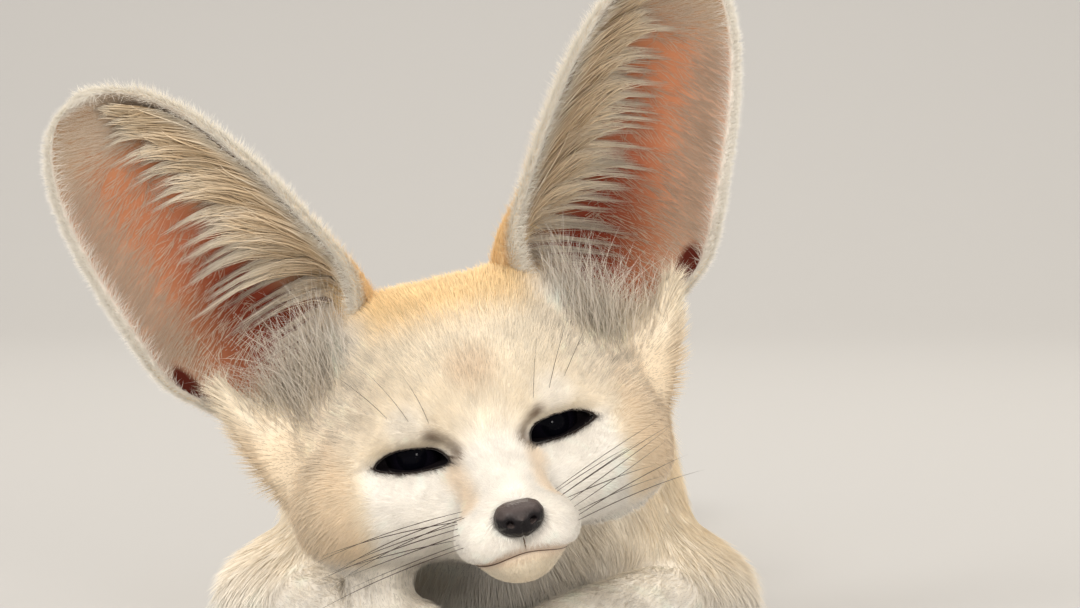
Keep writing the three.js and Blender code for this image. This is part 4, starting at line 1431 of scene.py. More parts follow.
def ear_places(s, share, lift):
    """Head places on a left ear: lift is mm out of its back, less than 0 is into its cup."""
    s, share, lift = np.broadcast_arrays(
        np.asarray(s, float), np.asarray(share, float), np.asarray(lift, float)
    )
    full = np.maximum(s, 0)
    taper = np.sqrt(np.maximum(1 - full**4.5, 0)) * (1 - 0.17 * full)
    half = EAR_WIDTH / 2 * taper * (FOOT_WIDTH + WIDENS * ramp(s, -0.15, 0.33)) + 0.3
    arc = np.radians(FOOT_ARC - ARC_OPENS * ramp(s, 0.06, 0.48) - TIP_OPENS * full)
    radius = half / np.sin(np.minimum(arc, math.pi / 2))
    reach, angle = radius + lift, share * arc
    sideways = reach * np.sin(angle) + 1.5 * full**2
    flat = FOOT_DEPTH + DEEPENS * ramp(s, 0.15, 0.5)
    forward = flat * (radius * np.cos(arc) - reach * np.cos(angle))
    return (EAR_ROOT + ear_axis * (s * EAR_LENGTH)[..., None] + ear_across * sideways[..., None]
            + ear_opening * forward[..., None])


def ear_points(side, s, share, lift):
    places = ear_places(s, share, lift)
    return from_head(mirror_places(places.reshape(-1, 3), side)).reshape(places.shape)


# %% Build the cups
EAR_ROWS, EAR_COLUMNS = 72, 49
BACK_SHIFT = (0.5, 0.0)
TIP_CROWDING = 1.25  # more rows near the tip, where the outline bends most
RIM_CROWDING = 0.9  # and more columns near the two rims
row_s = EAR_START + (EAR_STOP - EAR_START) * (1 - (1 - np.linspace(0, 1, EAR_ROWS)) ** TIP_CROWDING)
column_turn = np.linspace(-1, 1, EAR_COLUMNS) * math.pi / 2 * RIM_CROWDING
column_share = np.sin(column_turn) / math.sin(math.pi / 2 * RIM_CROWDING)
grid_s, grid_share = np.meshgrid(row_s, column_share, indexing="ij")
ear_s = np.tile(grid_s.ravel(), 2)
ear_share = np.tile(grid_share.ravel(), 2)
ear_side = np.repeat([-1.0, 1.0], grid_s.size)  # -1 inside the cup, 1 on its back


def ear_unwrap(s, share):
    """Where the inside of the cup lies in the baked picture. Its back lies BACK_SHIFT beside it."""
    u = (share + 1) / 2 * 0.46 + 0.02
    v = (s - EAR_START) / (EAR_STOP - EAR_START) * 0.96 + 0.02
    return np.stack([u, v], axis=1)


def ear_cup(side):
    """A closed thin cup: its inner sheet, its back, and the rim that joins them."""
    inner = ear_points(side, grid_s, grid_share, -EAR_THICK).reshape(-1, 3)
    back = ear_points(side, grid_s, grid_share, EAR_THICK).reshape(-1, 3)
    count, across = len(inner), EAR_COLUMNS
    faces = []
    for i in range(EAR_ROWS - 1):
        for j in range(across - 1):
            a = i * across + j
            faces.append((a, a + 1, a + across + 1, a + across))
            faces.append((count + a + across, count + a + across + 1, count + a + 1, count + a))
    rim = [i * across for i in range(EAR_ROWS)]
    rim += [(EAR_ROWS - 1) * across + j for j in range(1, across)]
    rim += [i * across + across - 1 for i in range(EAR_ROWS - 2, -1, -1)]
    rim += [j for j in range(across - 2, 0, -1)]
    for k, a in enumerate(rim):
        b = rim[(k + 1) % len(rim)]
        faces.append((a, count + a, count + b, b))
    mesh = closed_mesh("ear_" + side, np.vstack([inner, back]), faces)
    places = ear_unwrap(ear_s, ear_share) + np.outer(ear_side > 0, BACK_SHIFT)
    layer = mesh.uv_layers.new(name="unwrap")
    layer.data.foreach_set("uv", places[corners_of(mesh)].astype(np.float32).ravel())
    mesh.shade_smooth()
    return mesh


print("each cup has", len(ear_s), "points")

# %% [markdown]
# ## Colours of the ear
# Light shines through the thin skin, which is why the groove of the cup glows red low down and
# orange above. The rim carries dense white fur, the back the same pale yellow as the crown. A
# small dark pocket, which every fox has, lies low on the outer rim.

# %% Paint the ears
# painted glow: the orange and the red stand for light shining through the thin skin
EAR_ORANGE = (0.54, 0.22, 0.11)
EAR_RED = (0.28, 0.055, 0.03)
EAR_OLIVE = (0.44, 0.30, 0.18)
RIM_WHITE = (0.95, 0.91, 0.83)
EAR_DUN = (0.56, 0.41, 0.30)
POCKET = (0.11, 0.02, 0.012)


def in_pocket(s, share):
    """1 in the small dark pocket, 0 away from it."""
    return ramp(-np.hypot((s - 0.2) / 0.085, (share - 0.86) / 0.15), -1.0, -0.7)


def ear_back_colours(s):
    return wash(np.tile(np.array(CREAM), (len(s), 1)), YELLOW, 0.9 * ramp(-s, -0.7, 0.0))


def ear_skin_colours(s, share, side):
    colours = np.tile(np.array(EAR_ORANGE), (len(s), 1))
    groove = ramp(-np.abs(share - 0.12), -0.5, -0.05)
    colours = wash(colours, EAR_RED, groove * ramp(-s, -0.8, -0.25))
    colours = wash(colours, EAR_OLIVE, 0.85 * ramp(-share, -0.05, 0.3))
    colours = wash(colours, EAR_DUN, 0.6 * ramp(share, 0.45, 0.8))
    colours = wash(colours, EAR_OLIVE, 0.75 * ramp(s, 0.74, 0.9))
    colours = wash(colours, WHITE, 0.8 * ramp(np.abs(share), 0.93, 0.98))
    colours = wash(colours, POCKET, in_pocket(s, share))
    colours = wash(colours, WHITE, 0.8 * ramp(s, 0.975, 0.99))
    return np.where(side[:, None] > 0, ear_back_colours(s), colours)


def ear_hair_colours(s, share, side):
    inside = wash(np.tile(np.array(EAR_DUN), (len(s), 1)), CREAM, 0.45 * ramp(s, 0.7, 0.95))
    inside = wash(inside, CREAM, 0.6 * ramp(-s, -0.4, -0.15))
    inside = wash(inside, RIM_WHITE, ramp(np.abs(share), 0.92, 0.97))
    inside = wash(inside, RIM_WHITE, 0.9 * ramp(s, 0.975, 0.99))
    back = wash(ear_back_colours(s), YELLOW, 0.8 * ramp(-share, 0.5, 0.7) * ramp(-s, -0.6, -0.3))
    back = wash(back, CREAM, 0.7 * ramp(-s, -0.02, 0.07))
    pale_edge = np.maximum(ramp(np.abs(share), 0.86, 0.95), ramp(s, 0.88, 0.95))
    back = wash(back, RIM_WHITE, pale_edge)
    return np.where(side[:, None] > 0, back, inside)


# %% [markdown]
# ## Where the ear's hair grows
# Three masks part the short coat: the back, the two rims with the tip, and the fine hair inside.
# The inside stays bare along the groove and in the pocket. At the foot of the back the hair is
# longer and hangs down like a skirt, so that it covers the seam where the cup meets the neck.

# %% Masks, lengths and widths of the ear's hair
RIM_HAIR, OUTER_RIM_HAIR, BACK_HAIR, INNER_HAIR, SKIRT_HAIR = 5.0, 3.2, 3.4, 6.0, 8
medial_rim = ramp(-ear_share, 0.82, 0.9)
lateral_rim = ramp(ear_share, 0.88, 0.95)
ear_tip = np.where(ear_side < 0, ramp(ear_s, 0.972, 0.988), ramp(ear_s, 0.94, 0.975))
medial_rim = np.where(ear_side < 0, ramp(-ear_share, 0.92, 0.97), medial_rim)
lateral_rim = np.where(ear_side < 0, ramp(ear_share, 0.94, 0.98), lateral_rim)
rim_mask = np.maximum(np.maximum(medial_rim, lateral_rim), ear_tip)
back_mask = (ear_side > 0) * (1 - 0.3 * rim_mask)
rim_mask = rim_mask * ramp(ear_s, -0.02, 0.08)
near_tip = ramp(ear_s, 0.74, 0.88)
fine_mask = (ear_side < 0) * np.maximum(near_tip, 0.2 + 0.8 * ramp(ear_share, 0.45, 0.9))
fine_mask *= np.maximum(near_tip, ramp(ear_share, 0.0, 0.25)) * (1 - rim_mask)
no_pocket = 1 - (ear_side < 0) * in_pocket(ear_s, ear_share)
back_lengths = BACK_HAIR + SKIRT_HAIR * ramp(-ear_s, -0.2, 0.02)
rim_lengths = np.where(ear_share < 0, RIM_HAIR, OUTER_RIM_HAIR)
ear_lengths = np.where(ear_side > 0, back_lengths, INNER_HAIR)
ear_lengths = ear_lengths * (1 - rim_mask) + rim_mask * rim_lengths
ear_widths = 0.32 - 0.1 * rim_mask - 0.16 * fine_mask
print("hair on the ear is", ear_lengths.min().round(1), "to", ear_lengths.max().round(1), "mm")


# %% The lie of the ear's hair
def ear_lie(side):
    """Up the ear, but down in the skirt, out over the rims, and within the cup inwards."""
    step = 1e-3
    stem = ear_points(side, ear_s, ear_share, EAR_THICK * ear_side)
    up = unit(ear_points(side, ear_s + step, ear_share, EAR_THICK * ear_side) - stem)
    over = unit(ear_points(side, ear_s, ear_share + step, EAR_THICK * ear_side) - stem)
    outwards = np.sign(ear_share)[:, None] * over
    skirt = (ear_side > 0) * ramp(-ear_s, -0.03, 0.03) * (1 - 0.7 * rim_mask)
    flow = up * (1 - 1.9 * skirt)[:, None]
    flow += outwards * (0.95 * np.maximum(lateral_rim, medial_rim) + 0.15)[:, None]
    inwards = (0.4 - 0.8 * near_tip)[:, None] * up - over
    flow = np.where((fine_mask > 0.1)[:, None], inwards, flow)
    return unit(flow)


# %% Grow the ears' short coat
ear_hair = hair_material("ear_hair", root=0.84, tip=1.06, spread=0.14)
rim_hair = hair_material("rim_hair", root=0.96, tip=1.04, spread=0.06)
bushy = {"Rings": 1, "Lift": 0.55, "Stray": 0.5, "Locks": 0.03, "Pull": 0.4}
fine = {"Rings": 1, "Lift": 0.25, "Stray": 0.2, "Locks": 0.08, "Pull": 0.7}
for side, seed in zip(SIDES, (41, 46)):
    ear_finish = skin_material("ear_skin_" + side, 700.0, 0.2)
    ear = add_object("ear_skin_" + side, ear_cup(side), ear_finish)
    store(ear.data, "lie", ear_lie(side), "FLOAT_VECTOR")
    store(ear.data, "coat_length", ear_lengths * MM)
    store(ear.data, "coat_width", ear_widths * MM)
    hair = ear_hair_colours(ear_s, ear_share, ear_side)
    store(ear.data, "coat_colour", with_alpha(hair), "FLOAT_COLOR")
    rim, inside = rim_mask * no_pocket, fine_mask * no_pocket
    pieces = [
        grow("ear_back_" + side, ear, back_mask, 13000, ear_hair, seed, **short),
        grow("ear_rim_" + side, ear, rim, 17000, rim_hair, seed + 1, **bushy),
        grow("ear_inner_" + side, ear, inside, 11000, ear_hair, seed + 2, **fine),
    ]
    bare_skin = ear_skin_colours(ear_s, ear_share, ear_side)
    store(ear.data, "coat_colour", with_alpha(bare_skin), "FLOAT_COLOR")
    for piece in [ear] + pieces:
        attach(piece, "root")
    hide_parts("ear_" + side)

# %% [markdown]
# ## Long hair, one strand at a time
# The fringe inside the ear follows a path that no scatter would find: it climbs along the rim,
# then sweeps across the cup, and ends in points. So here each strand is a line of a few points,
# and a second tree gives all lines a thin three-sided body. The whiskers, the claws and the line
# of the lips use the same tree.

# %% The tree that gives lines a body
strand_tree, given = new_tree("thicken_strands", ("Material", "Material"))
t = strand_tree
line = wire(t, "GeometryNodeMeshToCurve", {"Mesh": given["Geometry"]})
ring = wire(t, "GeometryNodeCurvePrimitiveCircle", {"Resolution": 3, "Radius": 1.0})
around = wire(t, "GeometryNodeSplineParameter")
ring = kept(t, ring, "around", around.outputs["Factor"])
solid = wire(
    t, "GeometryNodeCurveToMesh",
    {"Curve": line, "Profile Curve": ring, "Scale": field(t, "thickness"), "Fill Caps": True},
)
beside_root = maths(t, "SUBTRACT", field(t, "around"), 0.33)
patched = bake_patch(t, solid, field(t, "root_uv", "FLOAT_VECTOR"), beside_root, field(t, "along"))
end_tree(t, patched, given["Material"])
print(strand_tree.name, "has", len(strand_tree.nodes), "nodes")


# %% Make strands from lines
def strands(name, lines, radii, roots_uv, colours, material, seed):
    """Thin solids along many lines: arrays of (strand, point, 3), and one value a strand."""
    count, steps = lines.shape[:2]
    first = np.arange(count * steps).reshape(count, steps)
    links = np.stack([first[:, :-1].ravel(), first[:, 1:].ravel()], axis=1)
    mesh = bpy.data.meshes.new(name)
    mesh.vertices.add(count * steps)
    mesh.edges.add(len(links))
    mesh.edges.foreach_set("vertices", links.astype(np.int32).ravel())
    move_points(mesh, lines.reshape(-1, 3))
    along = np.tile(np.linspace(0, 1, steps), (count, 1))
    store(mesh, "along", along)
    taper = np.minimum(1, 0.55 + 2.2 * along) * np.maximum(1 - along**2.2, 0.06)
    store(mesh, "thickness", taper * np.asarray(radii).reshape(-1, 1) * MM)
    roots_3d = np.hstack([roots_uv, np.zeros((count, 1))])
    store(mesh, "root_uv", np.repeat(roots_3d, steps, axis=0), "FLOAT_VECTOR")
    store(mesh, "shade", np.repeat(np.random.default_rng(seed).random(count), steps))
    store(mesh, "coat_colour", with_alpha(colours.reshape(-1, 3)), "FLOAT_COLOR")
    made = run_tree(name, mesh, strand_tree, {"Material": material})
    print(name, "has", len(made.data.polygons), "faces")
    return made


# %% [markdown]
# ## The fringe in the ear
# Between sixty and seventy locks a side leave the rim, each of a few dozen strands whose roots are
# spread and whose tips nearly meet. Between the tips the red skin shows. Their colour goes from
# the white of the rim through a darker tan, painted shade near the rim, to cream at the tip.

# %% Comb the fringe
FRINGE_LOCKS, FRINGE_STRANDS, FRINGE_STEPS = 66, 42, 6
# painted shade: the strands' darker tan where they leave the rim
FRINGE_ROOT_SHADE = (0.68, 0.49, 0.29)
FRINGE_MIDDLE = (0.95, 0.77, 0.54)
FRINGE_TIP = (0.95, 0.87, 0.73)


def fringe(side, seed):
    random = np.random.default_rng(seed)
    count = FRINGE_LOCKS * FRINGE_STRANDS
    lock = np.repeat(np.arange(FRINGE_LOCKS), FRINGE_STRANDS)
    spread = random.normal(0, 1, count)
    order = np.arange(FRINGE_LOCKS) + random.uniform(0, 1, FRINGE_LOCKS)
    lock_s = -0.05 + 0.9 * order / FRINGE_LOCKS
    above = np.maximum(lock_s, 0)
    lock_end = 0.38 - 0.44 * above**1.3 - 0.15 * ramp(-lock_s, -0.1, 0)
    lock_end += random.normal(0, 0.11, FRINGE_LOCKS)
    lock_climb = 0.05 + 0.15 * ramp(lock_s, -0.08, 0.2) - 0.13 * above
    lock_climb += random.normal(0, 0.02, FRINGE_LOCKS)
    lock_height = random.uniform(1.4, 4.6, FRINGE_LOCKS)
    root_s = lock_s[lock] + 0.021 * spread
    root_share = -0.999 + 0.5 * random.random(count) ** 2
    end_share = lock_end[lock] - 0.09 * spread**2 - 0.25 * random.random(count) ** 2
    end_share = np.maximum(end_share, root_share + 0.2)
    end_s = root_s - 0.0185 * spread + lock_climb[lock] + random.normal(0, 0.003, count)
    end_s = np.minimum(end_s, 0.97)
    t = np.linspace(0, 1, FRINGE_STEPS)[None, :]
    s = root_s[:, None] + (end_s - root_s)[:, None] * (1 - (1 - t) ** 2.1)
    share = root_share[:, None] + (end_share - root_share)[:, None] * (0.12 * t + 0.88 * t**1.8)
    rise = lock_height[lock] * random.uniform(0.7, 1.2, count)
    lift = -(EAR_THICK + rise[:, None] * np.sin(math.pi * (0.1 + 0.76 * t)))
    lines = ear_points(side, s, share, lift)
    tone = 1 - np.abs(random.normal(0, 0.1, FRINGE_LOCKS))[lock][:, None, None]
    along = np.tile(t, (count, 1)).ravel()
    hues = np.tile(np.array(CREAM), (len(along), 1))
    # painted shade: strands are darker tan close to the rim
    hues = wash(hues, FRINGE_ROOT_SHADE, ramp(share.ravel(), -1.0, -0.88))
    hues = wash(hues, FRINGE_MIDDLE, ramp(along, 0.25, 0.6))
    hues = wash(hues, FRINGE_TIP, ramp(along, 0.55, 0.95))
    hues = np.clip(hues.reshape(count, FRINGE_STEPS, 3) * tone, 0, 0.95)
    radii = random.uniform(0.11, 0.17, count)
    patches = ear_unwrap(root_s, root_share)
    return strands("ear_fringe_" + side, lines, radii, patches, hues, ear_hair, seed)


for side, seed in zip(SIDES, (51, 52)):
    lining = fringe(side, seed)
    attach(lining, "root")

# %% [markdown]
# ## Eyes and nose
# The eye of a fennec is so dark that its pupil hardly shows in the iris. Its wet look comes from
# one sharp clear layer over a dark ball, which bulges over the pupil. The nose is bare, black and
# finely pebbled: the solid nose is melted and smoothed, and small cells raise the grain.

# %% Shape the eyeballs
BALL_RADIUS = EYE_RADIUS - 0.05  # a hair's breadth inside the lids
BALL_AROUND, BALL_RINGS = 64, 48
CORNEA_FORWARD, CORNEA_RADIUS = 4.2, 5.2
GAZE_DROP = 0.2  # the fox looks a little down from under its lids


def eyeball(side):
    """A ball with a clear bulge, whose points know their angle from the line of sight."""
    body = bmesh.new()
    bmesh.ops.create_uvsphere(
        body, u_segments=BALL_AROUND, v_segments=BALL_RINGS, radius=BALL_RADIUS * MM
    )
    look = Vector(turned(mirror_places(gaze, side)[None])[0])
    middle = Vector(from_head(mirror_places(EYE_CENTRE, side)[None])[0])
    place = Matrix.Translation(middle) @ look.to_track_quat("Z", "Y").to_matrix().to_4x4()
    bmesh.ops.transform(body, matrix=place, verts=body.verts)
    mesh = bpy.data.meshes.new("eyeball_" + side)
    body.to_mesh(mesh)
    body.free()
    out = unit(points_of(mesh) - np.array(middle))
    store(mesh, "off_sight", np.arccos(np.clip(out @ np.array(look), -1, 1)))
    lowered = turned(mirror_places(gaze - np.array([0, 0, GAZE_DROP]), side)[None])[0]
    centre = lowered / np.linalg.norm(lowered) * CORNEA_FORWARD
    along = out @ centre
    inside = along**2 - CORNEA_FORWARD**2 + CORNEA_RADIUS**2
    reach = np.where(inside > 0, along + np.sqrt(np.maximum(inside, 0)), 0)
    reach = even_out(edges_of(mesh), np.maximum(reach, BALL_RADIUS), 3)
    move_points(mesh, np.array(middle) + out * reach[:, None] * MM)
    mesh.shade_smooth()
    return add_object("eyeball_" + side, mesh, eye_material)


# %% Finish the eyeballs
WIDEST = 1.6  # radians from the line of sight at which the rings of colour end
PUPIL = (0.42 / WIDEST, (0.002, 0.002, 0.004, 1))
IRIS_START = (0.42 / WIDEST + 0.03, (0.006, 0.005, 0.009, 1))
IRIS_RINGS = ((0.78 / WIDEST, (0.004, 0.003, 0.005, 1)), (0.56, (0.006, 0.004, 0.005, 1)))
WET = {"Roughness": 0.2, "Specular IOR Level": 0.0, "Coat Weight": 0.4, "Coat IOR": 1.2,
       "Coat Roughness": 0.02}
eye_material, tree, shader = make_material("wet_eye", WET)
off_sight = wire(tree, "ShaderNodeAttribute", attribute_name="off_sight")
along_rings = wire(
    tree, "ShaderNodeMapRange", {"Value": off_sight.outputs["Fac"], "From Max": WIDEST}
)
rings = wire(tree, "ShaderNodeValToRGB", {"Fac": along_rings})
stops = rings.color_ramp.elements
stops[0].position, stops[0].color = PUPIL
stops[1].position, stops[1].color = IRIS_START
for place, tone in IRIS_RINGS:
    stop = stops.new(place)
    stop.color = tone
tree.links.new(rings.outputs["Color"], shader.inputs["Base Color"])
for side in SIDES:
    ball = eyeball(side)
    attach(ball, "root")
    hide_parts("eye_" + side)
    print(ball.name, "has", len(ball.data.polygons), "faces")

# %% The finish of the nose
CELLS_A_METRE, GRAIN_DEPTH = 1500.0, 0.0004
MOIST = {"Roughness": 0.42, "Specular IOR Level": 0.2, "Coat Weight": 0.15, "Coat Roughness": 0.3}
nose_material, tree, shader = make_material("moist_nose", MOIST)
tint = wire(tree, "ShaderNodeAttribute", attribute_name="coat_colour")
place = wire(tree, "ShaderNodeTexCoord")
cells = wire(
    tree, "ShaderNodeTexVoronoi", {"Vector": place.outputs["Object"], "Scale": CELLS_A_METRE}
)
grain = wire(
    tree, "ShaderNodeBump",
    {"Height": cells.outputs["Distance"], "Strength": 0.35, "Distance": GRAIN_DEPTH}, invert=True,
)
tree.links.new(tint.outputs["Color"], shader.inputs["Base Color"])
tree.links.new(grain.outputs["Normal"], shader.inputs["Normal"])
print(nose_material.name, "has", len(tree.nodes), "nodes")

# %% Shape the nose
# painted sheen: the top of the nose is brown-grey, as if it caught light from above
NOSE_TOP_SHEEN = (0.085, 0.065, 0.06)
NOSE_STEP = 0.35 * MM
NOSTRIL = ((3.4, -47.4, -12.4), (6.0, -44.8, -13.3))  # the slit on each side runs between these
NOSTRIL_DEPTH, NOSTRIL_WIDTH = 0.8, 0.7
SPLIT_DEPTH, SPLIT_WIDTH, SPLIT_TOP = 0.5, 0.4, -12  # the groove between the nostrils
nose = add_object("nose_pad", swollen("nose", 0.0), nose_material)
melt = nose.modifiers.new("melt", "REMESH")
melt.mode = "VOXEL"
melt.voxel_size = NOSE_STEP
nose_mesh = plain_mesh(nose)
nose_edges = edges_of(nose_mesh)
nose_points = even_out(nose_edges, points_of(nose_mesh), 5, 0.5)
nose_places = to_head(nose_points)
slit = distance_to_bar(nose_places, *NOSTRIL)
split = np.hypot(nose_places[:, 0], 0.4 * np.clip(nose_places[:, 2] - SPLIT_TOP, 0, None))
press = NOSTRIL_DEPTH * np.exp(-((slit / NOSTRIL_WIDTH) ** 2))
press += SPLIT_DEPTH * np.exp(-((split / SPLIT_WIDTH) ** 2))
move_points(nose_mesh, nose_points)
nose_points -= normals_of(nose_mesh) * press[:, None] * MM
move_points(nose_mesh, even_out(nose_edges, nose_points, 1, 0.5))
faces_up = normals_of(nose_mesh) @ np.array(head_z)
# the painted sheen goes on faces that look up, but not into the nostrils
painted_sheen = ramp(faces_up, -0.05, 0.75) * (press < 0.1)
nose_hues = wash(np.tile(np.array(PITCH), (len(nose_points), 1)), NOSE_TOP_SHEEN, painted_sheen)
store(nose_mesh, "coat_colour", with_alpha(nose_hues), "FLOAT_COLOR")
nose_mesh.shade_smooth()
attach(nose, "root")
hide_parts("nose")
print("nose:", len(nose_mesh.polygons), "faces")

# %% [markdown]
# ## Lids, lips, whiskers and brows
# The last things on a face are lines. A dark wet margin runs round each eye, a thin shadow line
# parts the lips, and the whiskers sweep back in three rows from the upper lip. They are laid over
# the finished skin by shooting rays at it. The margins are closed loops of eight sides, and all
# the other lines are strands of the same tree as the fringe.

# %% Draw the lids' margins
MARGIN_RADIUS, MARGIN_SIDES = 0.32, 8
MARGIN_GROW = 0.3  # how far outside the slit's edge the margin runs, in mm
MARGIN_SINK = 0.25
RAY_START = 24  # the rays start this far before the eyeball's middle, in mm
final_skin = surface_of(skin_points, skin_mesh)
dark_trim = hair_material("dark_trim", root=1.0, tip=1.0, spread=0.0, roughness=0.35)


def on_skin(places, direction):
    """Where rays that start at head places meet the finished skin, in head millimetres."""
    found = []
    for place in places:
        hit = final_skin.ray_cast(Vector(from_head(place)), Vector(turned(direction)))[0]
        found.append(place if hit is None else to_head(np.array(hit)))
    return np.array(found)


def ring_tube(name, places, radius, sides, hue, material):
    """A closed round loop through head places."""
    line = from_head(places)
    ahead = unit(np.roll(line, -1, axis=0) - np.roll(line, 1, axis=0))
    facing = turned((0, -1, 0))
    across = unit(np.cross(ahead, facing))
    up = np.cross(across, ahead)
    count = len(line)
    rows = []
    for k in range(sides):
        turn = 2 * math.pi * k / sides
        rows.append(line + (across * math.cos(turn) + up * math.sin(turn)) * radius * MM)
    points = np.stack(rows, axis=1).reshape(-1, 3)
    faces = []
    for i in range(count):
        for k in range(sides):
            a, b = i * sides + k, i * sides + (k + 1) % sides
            c = (i + 1) % count * sides
            faces.append((a, b, c + (k + 1) % sides, c + k))
    mesh = closed_mesh(name, points, faces)
    store(mesh, "coat_colour", with_alpha(np.tile(hue, (len(points), 1))), "FLOAT_COLOR")
    mesh.shade_smooth()
    return add_object(name, mesh, material)


margins = []
margin_hue = np.array(UMBER) * 0.4
for side in SIDES:
    outline = mirror_places(almond_places(RAY_START, MARGIN_GROW), side)
    looking = mirror_places(-gaze, side)
    edge = on_skin(outline, looking)
    chain = np.array([(k, (k + 1) % len(edge)) for k in range(len(edge))])
    edge = even_out(chain, edge, 3) + looking * MARGIN_SINK
    name = "lid_margin_" + side
    margins.append(ring_tube(name, edge, MARGIN_RADIUS, MARGIN_SIDES, margin_hue, dark_trim))
print("margins:", [len(margin.data.polygons) for margin in margins], "faces")


# %% Draw the lips' line and the groove above it
def dark_line(name, line, radius):
    """A thin dark strand sunk a little into a crease, as painted shadow in it."""
    sunk = (line - MOUTH_MIDDLE) * (0.98, 0.98, 1) + MOUTH_MIDDLE
    hues = np.tile(np.array(BROW) * 0.9, (len(line), 1))
    return strands(name, from_head(sunk[None]), [radius], np.zeros((1, 2)), hues, dark_trim, 60)


lip_line = dark_line("lip_line", mouth_line, 0.22)
groove_part = dark_line("lip_groove", groove_line, 0.17)
for piece in margins + [lip_line, groove_part]:
    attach(piece, "root")

# %% [markdown]
# ## Claws
# Four slim claws show past the fur of each paw. A claw is a strand as well, only thicker: it
# starts inside a toe, where a ray along the floor meets the skin, and bends down to a point.

# %% Make the claws
CLAW_LENGTH, CLAW_RADIUS, CLAW_STEPS = 5.5, 1.0, 6
CLAW_ROOT = 1  # how deep in the toe a claw starts, in mm
CLAW_LIFT, CLAW_BEND = 0.5, 0.28  # mm above the ray at the root, and how much of the length it falls
CLAW_COLOUR = (0.20, 0.14, 0.10)
CLAW_PLACES = (-0.36, -0.13, 0.13, 0.36)  # shares of the paw's width


def claws(paw):
    """Four bent horn cones that start inside the toes and nearly reach the floor."""
    low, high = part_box(paw)
    width = high.x - low.x
    lines = []
    for share in CLAW_PLACES:
        start = Vector(((low.x + high.x) / 2 + share * width, low.y - 0.01, 0.2 * width))
        hit = final_skin.ray_cast(start, Vector((0, 1, 0)))[0]
        t = np.linspace(0, 1, CLAW_STEPS)[:, None]
        ahead = CLAW_ROOT - t * 0.92 * CLAW_LENGTH
        rise = CLAW_LIFT - CLAW_BEND * CLAW_LENGTH * t**2
        lines.append(np.array(hit) + np.hstack([0 * t, ahead, rise]) * MM)
    lines = np.array(lines)
    hues = np.tile(np.array(CLAW_COLOUR), (lines.shape[0] * CLAW_STEPS, 1))
    count = len(CLAW_PLACES)
    radii = [CLAW_RADIUS] * count
    return strands("claws_" + paw, lines, radii, np.zeros((count, 2)), hues, dark_trim, 61)


for paw in [f"{kind}_{side}" for kind in ("forepaw", "hind_paw") for side in SIDES]:
    claw_set = claws(paw)
    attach(claw_set, "root")

# %% [markdown]
# ## Whiskers and brow hairs
# Both are long stiff hairs that leave the skin along a heading and then bend back under their own
# weight. The whiskers' roots stand in three rows on the upper lip. Three finer hairs stand over
# each eye.

# %% Comb the whiskers and brow hairs
WHISKER_ROWS = ((-33.5, -10.0, 3), (-36.5, -12.6, 4), (-39.5, -15.4, 3))  # y, z and how many
WHISKER_COLOUR = (0.055, 0.035, 0.025)
WHISKER_STEPS = 14
WHISKER_LENGTHS, WHISKER_RADII = (30, 50), (0.11, 0.15)
BROW_HAIRS, BROW_LENGTHS, BROW_RADIUS = 3, (15, 23), 0.085
BESIDE_HEAD = 30  # the rays that find the whiskers' roots start this far out, in mm


def sweep(root, heading, length, fall, steps=WHISKER_STEPS):
    """A line that leaves its root along a heading and bends back and down as it goes."""
    t = np.linspace(0, 1, steps)[:, None]
    heading = np.array(heading) / np.linalg.norm(heading)
    return root + heading * t * length + np.array(fall) * t**2 * length


random = np.random.default_rng(70)
lines, radii = [], []
for mirror in (1, -1):
    rise = 0.2 if mirror > 0 else -0.12
    for y, z, count in WHISKER_ROWS:
        for k in range(count):
            start = np.array([BESIDE_HEAD * mirror, y + 2.6 * k, z + 0.5 * k + random.normal(0, 0.3)])
            root = on_skin(start[None], (-mirror, 0, 0))[0]
            heading = (mirror * 0.9, 0.42 + random.normal(0, 0.05), rise + random.normal(0, 0.07))
            fall = (-0.12 * mirror, 0.3, -0.14 + random.normal(0, 0.04))
            lines.append(sweep(root, heading, random.uniform(*WHISKER_LENGTHS), fall))
            radii.append(random.uniform(*WHISKER_RADII))
    for k in range(BROW_HAIRS):
        start = np.array([(13 + 4.5 * k) * mirror, -40, 9.5 + 1.2 * k])
        root = on_skin(start[None], (0, 1, 0))[0]
        heading = (mirror * (0.15 + 0.2 * k), -0.35, 0.95)
        fall = (0.1 * mirror, 0.45, -0.1)
        lines.append(sweep(root, heading, random.uniform(*BROW_LENGTHS), fall))
        radii.append(BROW_RADIUS)
lines = np.array(lines)
hues = np.tile(np.array(WHISKER_COLOUR), (lines.shape[0] * lines.shape[1], 1))
whiskers = strands("whiskers", from_head(lines), radii, np.zeros((len(lines), 2)), hues,
                   dark_trim, 71)
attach(whiskers, "root")

# %% [markdown]
# ## The fan in front of the ear
# Long soft hairs grow on the head just before the ear and stand across its opening, grey at the
# root and nearly white at the tip. Each strand starts on the skin and is aimed at a place a little
# inside the cup. Its line is a curve with three handles: root, middle and goal.

# %% Comb the fan
FAN_STRANDS, FAN_STEPS = 1500, 5
FAN_ROOT, FAN_TIP = (0.80, 0.69, 0.58), (0.94, 0.88, 0.79)
FAN_PLACE, FAN_CORE, FAN_REACH = (38, 26, 21), 7, 19  # it grows round here, thinning outwards
FAN_RADII, FAN_LENGTHS = (0.045, 0.08), (8, 25)
ABOVE_SKIN = 5  # how far off the skin a strand's middle may be drawn, in mm


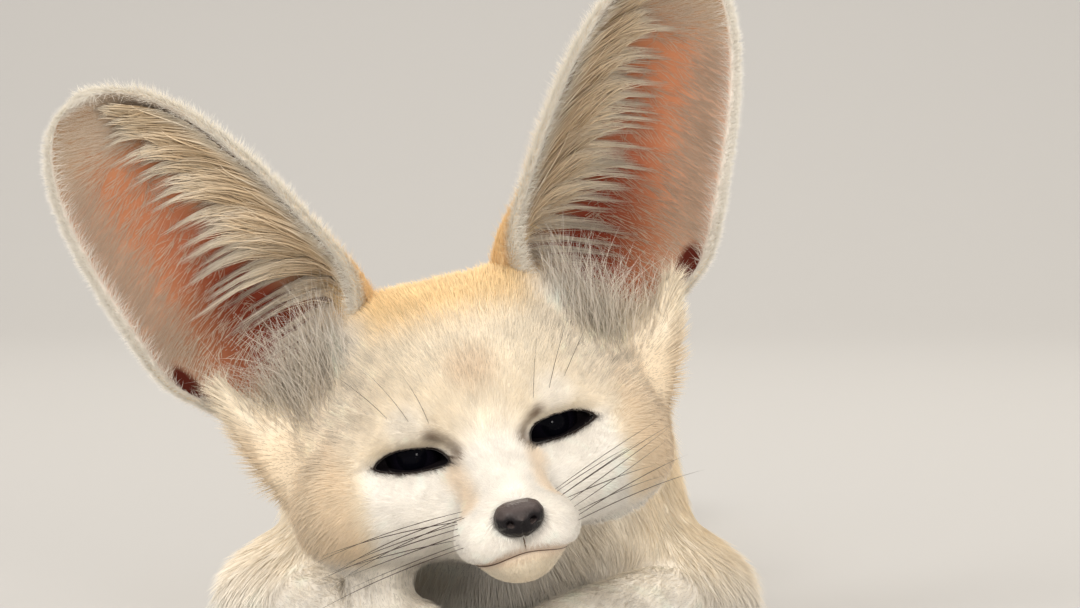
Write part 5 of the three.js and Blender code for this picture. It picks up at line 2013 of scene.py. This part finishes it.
def fan(side, seed):
    random = np.random.default_rng(seed)
    mirror = 1 if side == "left" else -1
    weight = near_to(places, FAN_PLACE, FAN_CORE, FAN_REACH)
    weight *= (places[:, 0] * mirror > 0) * share_of["head"]
    picked = random.choice(len(places), FAN_STRANDS, p=weight / weight.sum())
    root = places[picked] + random.normal(0, 0.5, (FAN_STRANDS, 3)) * (1, 1, 0.3)
    across = np.clip((mirrored(root)[:, 0] - 38) / 14, -1, 1)
    share = 0.8 * across + random.normal(0, 0.3, FAN_STRANDS)
    height = random.uniform(-0.02, 0.32, FAN_STRANDS)
    deep = random.uniform(3, 9, FAN_STRANDS)
    goal = mirror_places(ear_places(height, np.clip(share, -0.95, 0.95), -deep), side)
    reach = np.linalg.norm(goal - root, axis=1, keepdims=True)
    goal = root + (goal - root) * np.minimum(1, random.uniform(*FAN_LENGTHS, reach.shape) / reach)
    goal += random.normal(0, 2.6, goal.shape)
    t = np.linspace(0, 1, FAN_STEPS)[None, :, None]
    lift = np.array([0, -0.1, 1.0]) * random.uniform(1, 4, (FAN_STRANDS, 1))
    rise = root + (goal - root) * 0.35 + lift
    off_skin = skin_points[picked] + skin_normals_now[picked] * ABOVE_SKIN * MM
    out = to_head(off_skin) - places[picked]
    middle = rise + out * random.uniform(0.2, 0.6, (FAN_STRANDS, 1))
    lines = root[:, None] * (1 - t) ** 2 + middle[:, None] * 2 * t * (1 - t) + goal[:, None] * t**2
    along = np.tile(t[0, :, 0], (FAN_STRANDS, 1)).ravel()
    rooted = np.repeat(colours[picked], FAN_STEPS, axis=0)
    hues = wash(rooted, FAN_ROOT, 0.5 * ramp(along, 0.0, 0.3))
    hues = wash(hues, FAN_TIP, ramp(along, 0.4, 0.9))
    tone = (1 - np.abs(random.normal(0, 0.13, FAN_STRANDS)))[:, None, None]
    hues = np.clip(hues.reshape(FAN_STRANDS, FAN_STEPS, 3) * tone, 0, 0.95)
    radii = random.uniform(*FAN_RADII, FAN_STRANDS)
    lines, patches = from_head(lines), unwrap_at[picked]
    return strands("ear_fan_" + side, lines, radii, patches, hues, ear_hair, seed)


def uv_of_points(mesh):
    """The unwrap's place of each point, from any one of its corners."""
    flat = np.empty(len(mesh.loops) * 2, np.float32)
    mesh.uv_layers["unwrap"].data.foreach_get("uv", flat)
    result = np.zeros((len(mesh.vertices), 2))
    result[corners_of(mesh)] = flat.reshape(-1, 2)
    return result


skin_normals_now = normals_of(skin_mesh)
unwrap_at = uv_of_points(skin_mesh)
for side, seed in zip(SIDES, (81, 82)):
    hair_fan = fan(side, seed)
    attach(hair_fan, "root")
